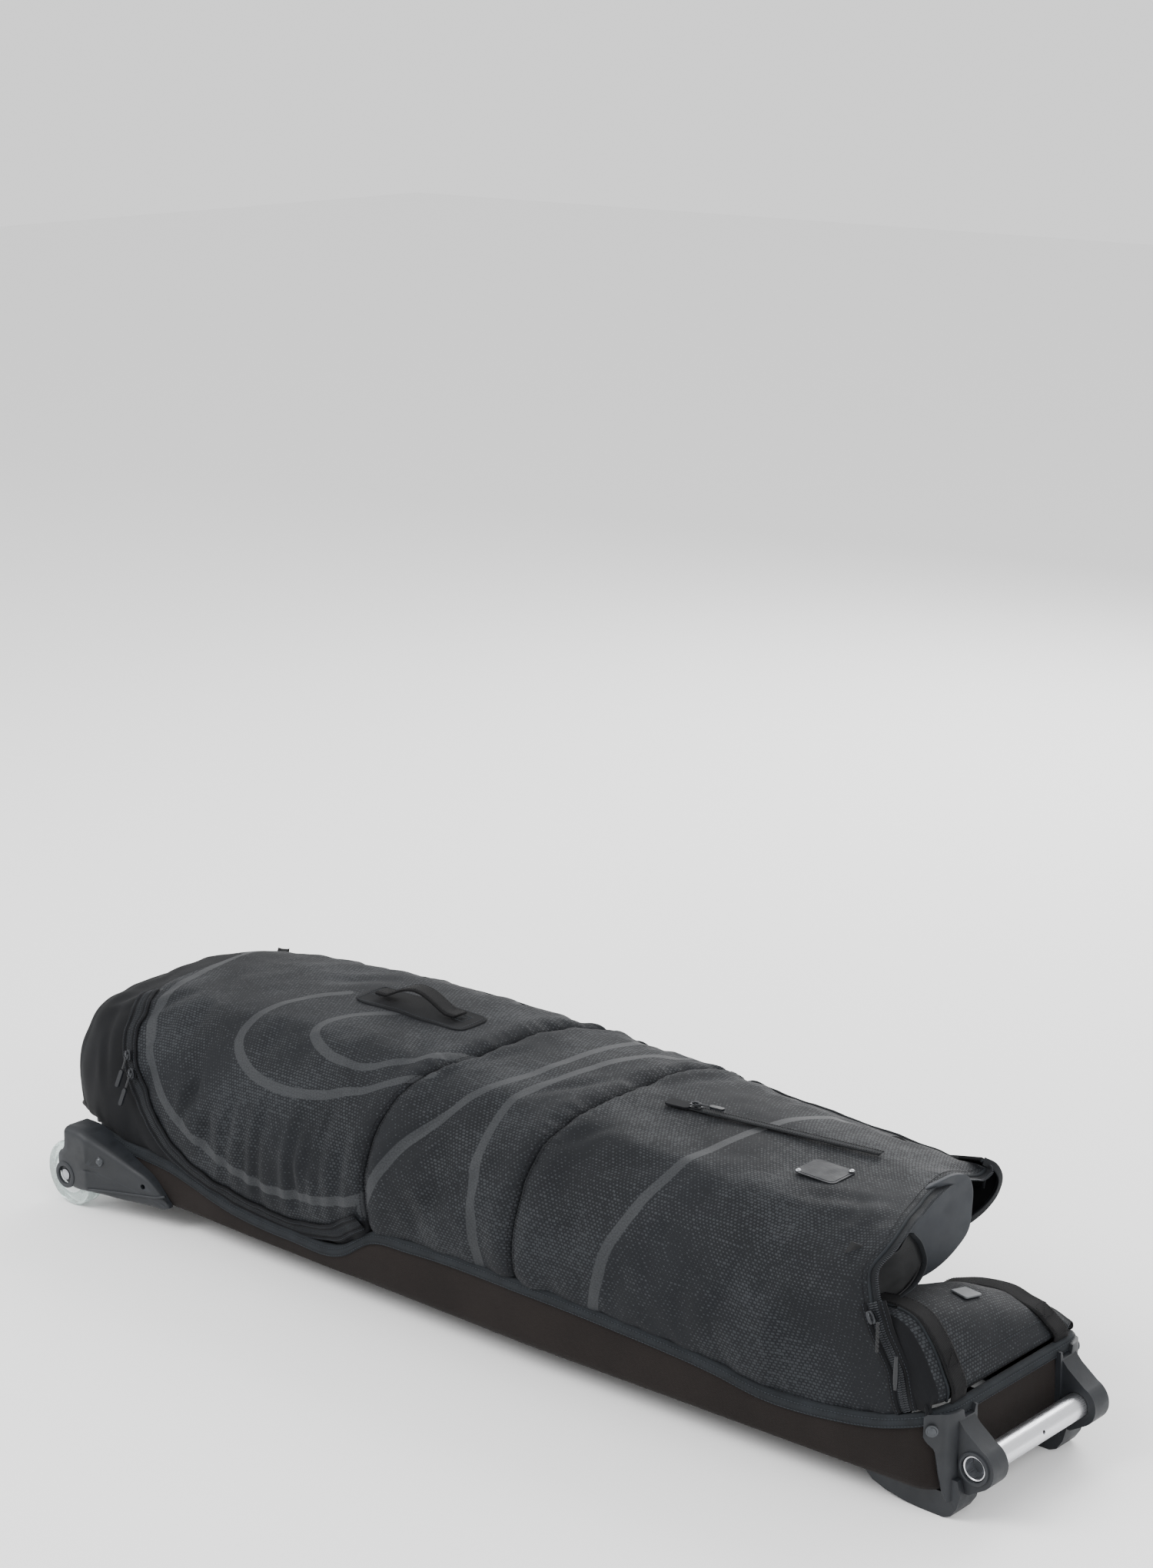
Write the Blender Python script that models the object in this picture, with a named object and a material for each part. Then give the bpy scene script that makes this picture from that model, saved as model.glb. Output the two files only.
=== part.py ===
"""A long wheeled travel bag for sports gear, packed flat, with its side panel folded over as a lid.

Metres, +Z up. +X runs from the wheels to the grab tube, -Y is the hinged side of the lid,
and the origin is on the floor under the middle of the bag.
"""

import math

import bmesh
import bpy
from mathutils import Vector

# Driving dimensions
WIDTH = 0.382
GAP = 0.0003
PLAY = 0.0010

WHEEL_RADIUS = 0.042
WHEEL_WIDTH = 0.024
AXLE_X = -0.640
WHEEL_Y = 0.1726
AXLE_RADIUS = 0.0040
BORE_RADIUS = 0.0041
BEARING_RADIUS = 0.0110
BEARING_WIDTH = 0.0070
WHEEL_SIDES = 32

TUB_REAR = -0.632
TUB_FRONT = 0.649
TUB_FLOOR = 0.028
TUB_WALL = 0.006
TUB_HALF_WIDTH = 0.150
TUB_NOSE_HALF_WIDTH = 0.132
TUB_TAPER_START = 0.10
TUB_TAPER_END = 0.60
CORNER_RADIUS = 0.035
CORNER_STEPS = 4
BINDING_HEIGHT = 0.013
BINDING_THICK = 0.0015

# Height of the tub's rim along X: it dips under the wheel pocket
RIM = [
    (-0.632, 0.108), (-0.572, 0.096), (-0.482, 0.089), (-0.372, 0.066), (-0.272, 0.061),
    (-0.182, 0.067), (-0.135, 0.096), (-0.072, 0.103), (0.092, 0.106), (0.238, 0.101),
    (0.368, 0.092), (0.434, 0.083), (0.514, 0.087), (0.578, 0.098), (0.649, 0.123),
]

# The lid's cross-sections along X: x, near edge, belly of the near wall, far edge, top
LID_SECTIONS = [
    (-0.692, -0.096, 0.000, 0.120, 0.216),
    (-0.684, -0.114, 0.003, 0.138, 0.240),
    (-0.660, -0.133, 0.005, 0.156, 0.260),
    (-0.620, -0.146, 0.007, 0.170, 0.270),
    (-0.520, -0.150, 0.009, 0.181, 0.280),
    (-0.380, -0.150, 0.012, 0.187, 0.290),
    (-0.240, -0.150, 0.012, 0.188, 0.295),
    (-0.135, -0.150, 0.010, 0.186, 0.292),
    (-0.020, -0.150, 0.011, 0.187, 0.288),
    (0.092, -0.150, 0.010, 0.186, 0.284),
    (0.220, -0.147, 0.010, 0.184, 0.279),
    (0.360, -0.142, 0.008, 0.178, 0.275),
    (0.470, -0.138, 0.004, 0.168, 0.274),
    (0.545, -0.134, 0.000, 0.150, 0.284),
]
# One cross-section, from the near rim over the top to the zip on the far side:
# share of the width, share of the height above LID_BASE, share of the belly
LID_PROFILE = [
    (0.000, 0.00, 0.0), (0.000, 0.24, 1.0), (0.000, 0.50, 0.1), (0.056, 0.74, 0.0),
    (0.135, 0.88, 0.0), (0.260, 0.95, 0.0), (0.435, 0.98, 0.0), (0.640, 0.995, 0.0),
    (0.815, 1.00, 0.0), (0.940, 0.975, 0.0), (1.000, 0.86, 0.0),
]
LID_BASE = 0.106
LID_THICK = 0.007
SEAM_REAR = -0.620
SEAM_HANDLE = -0.135
SEAM_MIDDLE = 0.092
MOUTH_X = 0.558
MOUTH_SLANT = 0.154
ZIP_FLARE = 0.53
ZIP_FLARE_TOP = 0.210

TAPE_THICK = 0.0020
ZIP_CLEAR = 0.0032
TAPE_WIDTH = 0.0060
CHAIN_WIDTH = 0.0100

TUBE_X = 0.676
TUBE_Z = 0.061
TUBE_RADIUS = 0.0135
TUBE_BORE = 0.0115
EAR_RADIUS = 0.0235
EAR_IN = 0.0800
EAR_OUT = 0.1066
TUBE_SIDES = 32
BRACKET_OFFSET = 0.0022
BRACKET_THICK = 0.0058
BRACKET_TOP = 0.1170
BRACKET_INNER_Y = 0.0760

HOUSING_OUT = WIDTH / 2
HOUSING_IN = 0.1525
POCKET_RADIUS = 0.0445
POCKET_OUT = 0.1862
POCKET_IN = 0.1590

HANDLE_X = -0.241
HANDLE_Y = 0.044
PATCH_SIZE = (0.183, 0.058)
HANDLE_SPAN = 0.130
HANDLE_RISE = 0.022
STRAP_LIFT = 0.0010
STRAP_THICK = 0.0020

SIDES = (("near", -1), ("far", 1))


# ---------------------------------------------------------------- small tools
def clear_scene():
    for item in list(bpy.data.objects):
        bpy.data.objects.remove(item)


def make_material(name, colour, roughness, metallic=0.0):
    material = bpy.data.materials.new(name)
    material.use_nodes = True
    shader = material.node_tree.nodes["Principled BSDF"]
    shader.inputs["Base Color"].default_value = (*colour, 1.0)
    shader.inputs["Roughness"].default_value = roughness
    shader.inputs["Metallic"].default_value = metallic
    return material


def add_object(name, mesh_data, material, smooth=False):
    """Closes a bmesh into a named object with outward faces."""
    bmesh.ops.recalc_face_normals(mesh_data, faces=mesh_data.faces)
    mesh = bpy.data.meshes.new(name)
    mesh_data.to_mesh(mesh)
    mesh_data.free()
    mesh.materials.append(material)
    if smooth:
        mesh.shade_smooth()
        mesh.set_sharp_from_angle(angle=math.radians(35))
    item = bpy.data.objects.new(name, mesh)
    bpy.context.scene.collection.objects.link(item)
    return item


def move_origin(item, origin):
    """Puts an object's origin on its joint, leaving its mesh where it is."""
    for vertex in item.data.vertices:
        vertex.co -= Vector(origin)
    item.location = origin


def add_loft(mesh_data, rings, cap=True):
    """Skins closed rings of points that follow one another."""
    rows = [[mesh_data.verts.new(point) for point in ring] for ring in rings]
    count = len(rows[0])
    for row, following in zip(rows, rows[1:]):
        for j in range(count):
            k = (j + 1) % count
            mesh_data.faces.new((row[j], row[k], following[k], following[j]))
    if cap:
        mesh_data.faces.new(rows[0])
        mesh_data.faces.new(rows[-1])
    return rows


def loft_object(name, rings, material, smooth=False):
    mesh_data = bmesh.new()
    add_loft(mesh_data, rings)
    return add_object(name, mesh_data, material, smooth)


def add_prism(mesh_data, outline, low_y, high_y):
    """An outline of (x, z) points extruded along Y."""
    add_loft(mesh_data, [[(x, y, z) for x, z in outline] for y in (low_y, high_y)])


def add_block(mesh_data, centre, along, across, size):
    """A block of length, width and height, turned to two directions."""
    along = Vector(along).normalized()
    up = along.cross(Vector(across)).normalized()
    across = up.cross(along)
    half = [side / 2 for side in size]
    corners = ((-1, -1), (1, -1), (1, 1), (-1, 1))
    rings = [
        [Vector(centre) + along * end * half[0] + across * s * half[1] + up * t * half[2]
         for s, t in corners]
        for end in (-1, 1)
    ]
    add_loft(mesh_data, rings)


def block_object(name, centre, along, across, size, material):
    mesh_data = bmesh.new()
    add_block(mesh_data, centre, along, across, size)
    return add_object(name, mesh_data, material)


def add_turned(mesh_data, profile, centre, sides):
    """A ring turned about a line along Y, from (radius, offset along Y) points."""
    rings = []
    for k in range(sides):
        angle = 2 * math.pi * (k + 0.5) / sides - math.pi / 2 - math.pi / sides
        rings.append([
            (centre[0] + r * math.cos(angle), centre[1] + offset, centre[2] + r * math.sin(angle))
            for r, offset in profile
        ])
    rings.append(rings[0])
    add_loft(mesh_data, rings, cap=False)
    bmesh.ops.remove_doubles(mesh_data, verts=mesh_data.verts, dist=1e-7)


def turned_object(name, profile, centre, sides, material):
    mesh_data = bmesh.new()
    add_turned(mesh_data, profile, centre, sides)
    return add_object(name, mesh_data, material, smooth=True)


def add_rod(mesh_data, start, end, radius, sides=12):
    """A plain round bar between two points."""
    start, end = Vector(start), Vector(end)
    along = (end - start).normalized()
    side = along.orthogonal().normalized()
    other = along.cross(side)
    rings = [
        [point + (side * math.cos(2 * math.pi * k / sides)
                  + other * math.sin(2 * math.pi * k / sides)) * radius for k in range(sides)]
        for point in (start, end)
    ]
    add_loft(mesh_data, rings)


def rod_object(name, start, end, radius, material):
    mesh_data = bmesh.new()
    add_rod(mesh_data, start, end, radius)
    return add_object(name, mesh_data, material, smooth=True)


def arc(centre, radius, first, last, steps):
    """Points of an arc between two angles in degrees."""
    angles = [math.radians(first + (last - first) * k / steps) for k in range(steps + 1)]
    return [(centre[0] + radius * math.cos(a), centre[1] + radius * math.sin(a)) for a in angles]


def use_boolean(item, cutter, operation):
    modifier = item.modifiers.new(operation.lower(), "BOOLEAN")
    modifier.operation = operation
    modifier.solver = "EXACT"
    modifier.object = cutter
    cutter.hide_render = True
    cutter.display_type = "WIRE"


def between(table, x, column=1):
    """Reads a table of rows at x, in straight lines from row to row."""
    if x <= table[0][0]:
        return table[0][column]
    for row, following in zip(table, table[1:]):
        if x <= following[0]:
            share = (x - row[0]) / (following[0] - row[0])
            return row[column] + share * (following[column] - row[column])
    return table[-1][column]


# ---------------------------------------------------------------- tub and base
def half_width(x):
    taper = [(TUB_TAPER_START, TUB_HALF_WIDTH), (TUB_TAPER_END, TUB_NOSE_HALF_WIDTH)]
    return between(taper, x)


def rim_height(x):
    return between(RIM, x)


def tub_outline(inset):
    """The tub's plan, rounded at its corners, moved inwards by inset."""
    radius = CORNER_RADIUS - inset
    near = [(x, -half_width(x) + inset) for x, _ in RIM if TUB_REAR + 0.04 < x < TUB_FRONT - 0.04]
    front = arc((TUB_FRONT - CORNER_RADIUS, -TUB_NOSE_HALF_WIDTH + CORNER_RADIUS),
                radius, -90, 0, CORNER_STEPS)
    rear = arc((TUB_REAR + CORNER_RADIUS, -TUB_HALF_WIDTH + CORNER_RADIUS),
               radius, -180, -90, CORNER_STEPS)
    near_side = rear + near + front
    return near_side + [(x, -y) for x, y in reversed(near_side)]


def tub_ring(inset, height=None, below_rim=0.0):
    return [
        (x, y, rim_height(x) - below_rim if height is None else height)
        for x, y in tub_outline(inset)
    ]


def make_tub(materials):
    rings = [
        tub_ring(0.008, TUB_FLOOR), tub_ring(0.0, TUB_FLOOR + 0.008), tub_ring(0.0),
        tub_ring(TUB_WALL), tub_ring(TUB_WALL, TUB_FLOOR + 0.005),
    ]
    loft_object("tub_shell", rings, materials["tub_fabric"])
    outer = -GAP - BINDING_THICK
    mesh_data = bmesh.new()
    band = [
        tub_ring(-GAP, below_rim=BINDING_HEIGHT), tub_ring(outer, below_rim=BINDING_HEIGHT),
        tub_ring(outer, below_rim=GAP), tub_ring(-GAP, below_rim=GAP),
    ]
    add_loft(mesh_data, band + [band[0]], cap=False)
    bmesh.ops.remove_doubles(mesh_data, verts=mesh_data.verts, dist=1e-7)
    add_object("rim_binding", mesh_data, materials["binding"])


def make_floor(materials):
    low = TUB_FLOOR + 0.005 + GAP
    board = [[(x, y, z) for x, y in tub_outline(TUB_WALL + 0.004)] for z in (low, low + 0.004)]
    loft_object("base_board", board, materials["board"])
    for side, sign in SIDES:
        centre = (0.0, sign * 0.080, low + 0.004 + GAP + 0.004)
        block_object(f"floor_rail_{side}", centre, (1, 0, 0), (0, 1, 0),
                     (1.12, 0.022, 0.008), materials["aluminium"])


# ---------------------------------------------------------------- lid surface
def mouth_x(y, z):
    """The front edge of the lid: it slants back over the top and forwards down the zip."""
    flare = ZIP_FLARE * max(0.0, ZIP_FLARE_TOP - z) if y < 0 else 0.0
    return MOUTH_X - MOUTH_SLANT * (y - LID_SECTIONS[-1][1]) + flare


def lid_points(x):
    """The outer cross-section of the lid at x, as (y, z) points."""
    low, belly, far, top = (between(LID_SECTIONS, x, column) for column in range(1, 5))
    points = []
    for share, rise, bulge in LID_PROFILE:
        points.append((low + share * (far - low) - bulge * belly, LID_BASE + rise * (top - LID_BASE)))
    points[0] = (low, max(rim_height(x), 0.06) + PLAY)
    return points


def inner_points(points, thickness):
    """The same cross-section on the inside of the panel."""
    inner = []
    for j, (y, z) in enumerate(points):
        before = points[max(j - 1, 0)]
        after = points[min(j + 1, len(points) - 1)]
        direction = Vector((after[0] - before[0], after[1] - before[1])).normalized()
        inner.append((y + direction[1] * thickness, z - direction[0] * thickness))
    inner[0] = (points[0][0] + thickness, points[0][1])
    inner[-1] = (points[-1][0] - thickness, points[-1][1])
    return inner


def lid_surface(x, v):
    """A point on the lid's outer face, with v counting points along the cross-section."""
    points = lid_points(x)
    j = min(int(v), len(points) - 2)
    share = v - j
    y = points[j][0] + share * (points[j + 1][0] - points[j][0])
    z = points[j][1] + share * (points[j + 1][1] - points[j][1])
    return Vector((x, y, z))


def lid_normal(x, v):
    step = 0.004
    along = lid_surface(x + step, v) - lid_surface(x - step, v)
    around = lid_surface(x, v + 0.02) - lid_surface(x, v - 0.02)
    return along.cross(around).normalized()


def station_points(x, last):
    """Outer and inner points of one cross-section in space, slanted at the mouth."""
    outer = lid_points(x)
    inner = inner_points(outer, LID_THICK)
    rows = []
    for points in (outer, inner):
        row = [(mouth_x(y, z) if last else x, y, z) for y, z in points]
        row[0] = (*row[0][:2], rim_height(row[0][0]) + PLAY)
        rows.append(row)
    return rows


def panel_stations(low, high):
    """Every X between low and high at which the lid or the rim below it changes."""
    marks = {row[0] for row in LID_SECTIONS + RIM if low + PLAY < row[0] < high - PLAY}
    return [low] + sorted(marks) + [high]


def make_panel(name, low, high, material, at_mouth=False):
    """A padded panel of the lid between two seams, open underneath."""
    stations = panel_stations(low + GAP, high if at_mouth else high - GAP)
    mesh_data = bmesh.new()
    rings = []
    for x in stations:
        outer, inner = station_points(x, at_mouth and x == stations[-1])
        rings.append(outer + inner[::-1])
    rows = add_loft(mesh_data, rings, cap=False)
    count = len(LID_PROFILE)
    for row in (rows[0], rows[-1]):
        for j in range(count - 1):
            mesh_data.faces.new((row[j], row[j + 1], row[-2 - j], row[-1 - j]))
    return add_object(name, mesh_data, material)


def make_rear_panel(material):
    """The lid's rounded rear end, closed at the back and open at the seam and underneath."""
    stations = panel_stations(LID_SECTIONS[0][0], SEAM_REAR - GAP)
    mesh_data = bmesh.new()
    walls = []
    for inside in (False, True):
        wall = []
        for x in stations:
            points = lid_points(x)
            place = x
            if inside:
                points = inner_points(points, LID_THICK)
                place = max(x, stations[0] + LID_THICK * (1 + 0.1 * stations.index(x)))
            wall.append([mesh_data.verts.new((place, y, z)) for y, z in points])
        walls.append(wall)
        for row, following in zip(wall, wall[1:]):
            for j in range(len(row) - 1):
                mesh_data.faces.new((row[j], row[j + 1], following[j + 1], following[j]))
        mesh_data.faces.new(wall[0])
    outer, inner = walls
    last = len(LID_PROFILE) - 1
    for j in (0, last):
        for k in range(len(stations) - 1):
            mesh_data.faces.new((outer[k][j], outer[k + 1][j], inner[k + 1][j], inner[k][j]))
    for j in range(last):
        mesh_data.faces.new((outer[-1][j], outer[-1][j + 1], inner[-1][j + 1], inner[-1][j]))
    mesh_data.faces.new((outer[0][0], outer[0][last], inner[0][last], inner[0][0]))
    add_object("rear_panel", mesh_data, material)


def zip_path(below):
    """The main zip's line: up across the rear end, then along the far side to the mouth."""
    path = []
    first = lid_points(LID_SECTIONS[0][0])
    rear_x = LID_SECTIONS[0][0] + LID_THICK / 2
    for share in (0.04, 0.35, 0.66, 0.98):
        y = first[0][0] + share * (first[-1][0] - first[0][0])
        z = first[0][1] + share * (first[-1][1] - first[0][1])
        path.append(Vector((rear_x, y, z - below)))
    for row in LID_SECTIONS[1:-1]:
        y, z = lid_points(row[0])[-1]
        path.append(Vector((row[0], y - LID_THICK / 2, z - below)))
    return path


def add_tape(mesh_data, path, width, thickness):
    """A flat tape along a path, level across."""
    rings = []
    for k, point in enumerate(path):
        along = (path[min(k + 1, len(path) - 1)] - path[max(k - 1, 0)]).normalized()
        across = along.cross(Vector((0, 0, 1))).normalized() * width / 2
        rise = Vector((0, 0, thickness / 2))
        rings.append([point - across - rise, point + across - rise,
                      point + across + rise, point - across + rise])
    add_loft(mesh_data, rings)


def tape_object(name, path, width, thickness, material):
    mesh_data = bmesh.new()
    add_tape(mesh_data, path, width, thickness)
    return add_object(name, mesh_data, material)


def make_lid(materials):
    make_rear_panel(materials["plain_fabric"])
    make_panel("pocket_panel", SEAM_REAR, SEAM_HANDLE, materials["print_fabric"])
    make_panel("middle_panel", SEAM_HANDLE, SEAM_MIDDLE, materials["print_fabric"])
    make_panel("front_panel", SEAM_MIDDLE, LID_SECTIONS[-1][0], materials["print_fabric"], True)
    lid_half = zip_path(ZIP_CLEAR + TAPE_THICK / 2)
    tape_object("zip_lid_half", lid_half, TAPE_WIDTH, TAPE_THICK, materials["zip"])


def refine(path, parts):
    """Adds evenly spaced points between the points of a path."""
    fine = []
    for a, b in zip(path, path[1:]):
        fine += [tuple(p + (q - p) * k / parts for p, q in zip(a, b)) for k in range(parts)]
    return fine + [path[-1]]


def surface_tape(name, path, width, lift, thickness, material):
    """A flat strip that follows the lid along (x, v) points, a little off its face."""
    mesh_data = bmesh.new()
    centres = [lid_surface(x, v) for x, v in path]
    rings = []
    for k, (x, v) in enumerate(path):
        along = (centres[min(k + 1, len(path) - 1)] - centres[max(k - 1, 0)]).normalized()
        normal = lid_normal(x, v)
        across = along.cross(normal).normalized() * width / 2
        low = centres[k] + normal * lift
        high = low + normal * thickness
        rings.append([low - across, low + across, high + across, high - across])
    add_loft(mesh_data, rings)
    return add_object(name, mesh_data, material)


POCKET_ZIP = [
    (-0.586, 4.85), (-0.574, 3.50), (-0.566, 2.80), (-0.550, 2.15), (-0.526, 1.45),
    (-0.498, 0.85), (-0.454, 0.45), (-0.390, 0.27), (-0.306, 0.18), (-0.242, 0.18),
    (-0.198, 0.30), (-0.144, 0.55),
]


def make_lid_trim(materials):
    surface_tape("pocket_zip", refine(POCKET_ZIP, 3), CHAIN_WIDTH, 0.0035, 0.0015, materials["zip"])
    start, end = top_zip_ends()
    block_object("top_zip", (start + end) / 2, end - start, (0, 1, 0),
                 ((end - start).length, 0.012, 0.0015), materials["zip"])
    garage = start - (end - start).normalized() * 0.020
    block_object("top_zip_garage", garage, end - start, (0, 1, 0),
                 (0.030, 0.018, 0.0025), materials["zip"])
    plate_centre = lid_surface(0.405, 6.02) + Vector((0, 0, 0.0030))
    block_object("name_plate", plate_centre, (1, 0, 0), (0, 1, 0),
                 (0.054, 0.046, 0.0018), materials["rubber"])
    for label, x, y in (("rear", -0.022, -0.018), ("front", 0.022, 0.018)):
        low = plate_centre + Vector((x, y, 0.0009 + GAP))
        rod_object(f"plate_stud_{label}", low, low + Vector((0, 0, 0.0016)), 0.0035, materials["steel"])


def top_zip_ends():
    """The pocket zip on the lid's top is straight and lies just off the panel."""
    start = Vector((0.190, 0.030, 0.2822))
    end = Vector((0.426, 0.070, 0.2782))
    return start, end


# ---------------------------------------------------------------- carry handle
def make_handle(materials):
    top = max(lid_surface(HANDLE_X + dx, v)[2] for dx in (-0.09, 0, 0.09) for v in (6.0, 7.2))
    low = top + PLAY
    patch = block_object("handle_patch", (HANDLE_X, HANDLE_Y, low + 0.0010), (1, 0, 0), (0, 1, 0),
                         (*PATCH_SIZE, 0.0020), materials["plain_fabric"])
    axis = Vector((HANDLE_X, HANDLE_Y, low + 0.0020 + 0.0050))
    for label, end in (("rear", -1), ("front", 1)):
        centre = axis + Vector((end * (HANDLE_SPAN / 2 + 0.0110), 0, -0.0022))
        anchor = block_object(f"add_anchor_{label}", centre, (1, 0, 0), (0, 1, 0),
                              (0.014, 0.026, 0.0070), materials["webbing"])
        use_boolean(patch, anchor, "UNION")
    rings = []
    steps = 12
    for k in range(steps + 1):
        angle = math.pi * k / steps
        x = -HANDLE_SPAN / 2 * math.cos(angle)
        rise = HANDLE_RISE * math.sin(angle) ** 0.7
        wide = 0.004 + 0.008 * math.sin(angle)
        tilt = math.atan2(HANDLE_RISE * math.cos(angle) * 0.9, HANDLE_SPAN / 2 * max(math.sin(angle), 0.2))
        across = Vector((0, wide, 0))
        up = Vector((-math.sin(tilt), 0, math.cos(tilt))) * 0.0022
        centre = axis + Vector((x, 0, rise))
        rings.append([centre - across - up, centre + across - up,
                      centre + across + up, centre - across + up])
    handle = loft_object("carry_handle", rings, materials["webbing"])
    move_origin(handle, axis)


# ---------------------------------------------------------------- base fabric
def make_far_panel(materials):
    """The other side panel: it stands up from the far rim to the main zip."""
    low_x, high_x = -0.590, 0.505
    stations = [low_x] + [row[0] for row in LID_SECTIONS if low_x < row[0] < high_x] + [high_x]
    stations += [x for x, _ in RIM if low_x < x < high_x]
    rings = []
    for x in sorted(set(stations)):
        bottom = Vector((x, half_width(x), rim_height(x) + PLAY))
        y, z = lid_points(x)[-1]
        top = Vector((x, y, z - ZIP_CLEAR - 2 * TAPE_THICK - 2 * PLAY))
        middle = bottom.lerp(top, 0.5) + Vector((0, 0.004, 0))
        outer = [bottom, middle, top]
        inner = [point - Vector((0, LID_THICK, 0)) for point in reversed(outer)]
        rings.append(outer + inner)
    loft_object("far_side_panel", rings, materials["print_fabric"])


def make_rear_gusset(materials):
    """The rear end wall: from the tub's rear rim out to the slanted main zip."""
    first = lid_points(LID_SECTIONS[0][0])
    drop = ZIP_CLEAR + 2 * TAPE_THICK + 2 * PLAY
    rows = (-0.050, -0.020, 0.015, 0.050, 0.090)
    bottoms = [(TUB_REAR + TUB_WALL / 2, y) for y in rows]
    bottoms += [(-0.615, 0.140), (-0.594, 0.1465)]
    tops = [(-0.6855, y) for y in rows] + [(-0.672, 0.142), (-0.598, 0.165)]
    inwards = [(1, 0)] * len(rows) + [(0.707, -0.707), (0, -1)]
    thick = 0.005
    rings = []
    for (bx, by), (tx, ty), (nx, ny) in zip(bottoms, tops, inwards):
        share = (ty - first[0][0]) / (first[-1][0] - first[0][0])
        slope = first[0][1] + min(share, 1.0) * (first[-1][1] - first[0][1])
        if share > 1.0:
            slope = min(slope + 0.008, lid_points(max(tx, -0.684))[-1][1])
        inward = Vector((nx, ny, 0)) * thick
        bottom = Vector((bx, by, rim_height(bx) + PLAY))
        top = Vector((tx, ty, slope - drop))
        below = top - Vector((0, 0, thick))
        rings.append([bottom, below, top, top + inward, bottom + inward])
    loft_object("rear_gusset", rings, materials["plain_fabric"])
    base_half = zip_path(ZIP_CLEAR + GAP + 1.5 * TAPE_THICK)
    tape_object("zip_base_half", base_half, TAPE_WIDTH, TAPE_THICK, materials["zip"])


GUSSET_ROWS = [(-0.118, 0.204), (-0.060, 0.198), (0.040, 0.180), (0.128, 0.141)]


def gusset_top(y):
    return between(GUSSET_ROWS, y)


def gusset_profile(y):
    """The folded front gusset at y: (x, z) points from the front rim up and back inside."""
    high = gusset_top(y)
    return [
        (0.6420, 0.1245), (0.6340, 0.1245 + 0.35 * (high - 0.1245)), (0.600, high - 0.004),
        (0.565, high), (0.520, high - 0.010), (0.520, high - 0.028), (0.590, 0.1260),
    ]


def make_front_gusset(materials):
    rings = [[(x, y, z) for x, z in gusset_profile(y)] for y, _ in GUSSET_ROWS]
    loft_object("front_gusset", rings, materials["print_fabric"])
    strap_top = STRAP_LIFT + STRAP_THICK
    for side, low, high in (("near", -0.108, -0.083), ("far", 0.078, 0.103)):
        mesh_data = bmesh.new()
        rings = []
        rings.append([(0.6465, low, 0.1250), (0.6465, high, 0.1250),
                      (0.6490, high, 0.1250), (0.6490, low, 0.1250)])
        for k, outward in ((1, 1.0), (2, 0.45), (3, 0.0)):
            ring = []
            for y, lift in ((low, STRAP_LIFT), (high, STRAP_LIFT), (high, strap_top), (low, strap_top)):
                x, z = gusset_profile(y)[k]
                ring.append((x + outward * lift, y, z + lift))
            rings.append(ring)
        add_loft(mesh_data, rings)
        add_object(f"strap_{side}", mesh_data, materials["webbing"])
    tag_centre = Vector((0.5830, 0.008, (gusset_profile(0.008)[2][1] + gusset_profile(0.008)[3][1]) / 2))
    slope_x = Vector((0.035, 0, -0.004))
    slope_y = Vector((0, 0.100, -0.020))
    lift = slope_x.cross(slope_y).normalized() * 0.0020
    block_object("info_tag", tag_centre + lift, slope_x, slope_y, (0.020, 0.030, 0.0015),
                 materials["tag_rubber"])


def make_mouth(materials):
    """What stands in the open mouth: the divider pad and the free half of the front zip."""
    rings = []
    for k in range(6):
        share = k / 5
        y = -0.055 + 0.125 * share
        bow = 0.018 * math.sin(math.pi * share)
        low = 0.205 - 0.012 * share
        high = 0.262 + 0.004 * share
        rings.append([(0.470, y, high - 0.012), (0.525 + bow, y, low), (0.525 + bow, y + 0.001, low + 0.004),
                      (0.470, y, high - 0.008)])
    loft_object("divider_pad", rings, materials["board"])
    free_half = [Vector(point) for point in
                 ((0.556, -0.105, 0.2065), (0.566, -0.085, 0.216), (0.560, -0.070, 0.228), (0.545, -0.066, 0.240))]
    tape_object("front_zip_free_half", free_half, TAPE_WIDTH, TAPE_THICK, materials["zip"])


FRONT_ZIP_TOP = Vector((0.5640, -0.1375, 0.2080))
FRONT_ZIP_END = Vector((0.6120, -0.1375, 0.1180))


def make_front_zip(materials):
    """The closed end of the main zip, down the near front corner, with its slider and pull."""
    along = FRONT_ZIP_END - FRONT_ZIP_TOP
    block_object("front_zip_chain", (FRONT_ZIP_TOP + FRONT_ZIP_END) / 2, along, (0, 1, 0),
                 (along.length, 0.0015, CHAIN_WIDTH), materials["zip"])
    pivot = FRONT_ZIP_TOP + along.normalized() * 0.006 + Vector((0, -0.0045, 0))
    slider = block_object("front_slider", pivot + Vector((0, 0.0012, 0)), along, (0, 1, 0),
                          (0.014, 0.0030, 0.011), materials["slider"])
    move_origin(slider, pivot)
    pull_axis = pivot + Vector((0, -0.0035, 0))
    down = Vector((0.60, 0.0, -0.80))
    cord = block_object("front_pull_cord", pull_axis + down * 0.020, down, (0, 1, 0),
                        (0.036, 0.0030, 0.0040), materials["cord"])
    grip = block_object("front_pull_grip", pull_axis + down * 0.0595, down, (0, 1, 0),
                        (0.040, 0.0060, 0.0100), materials["gloss_plastic"])
    for item in (cord, grip):
        move_origin(item, pull_axis)


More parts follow.
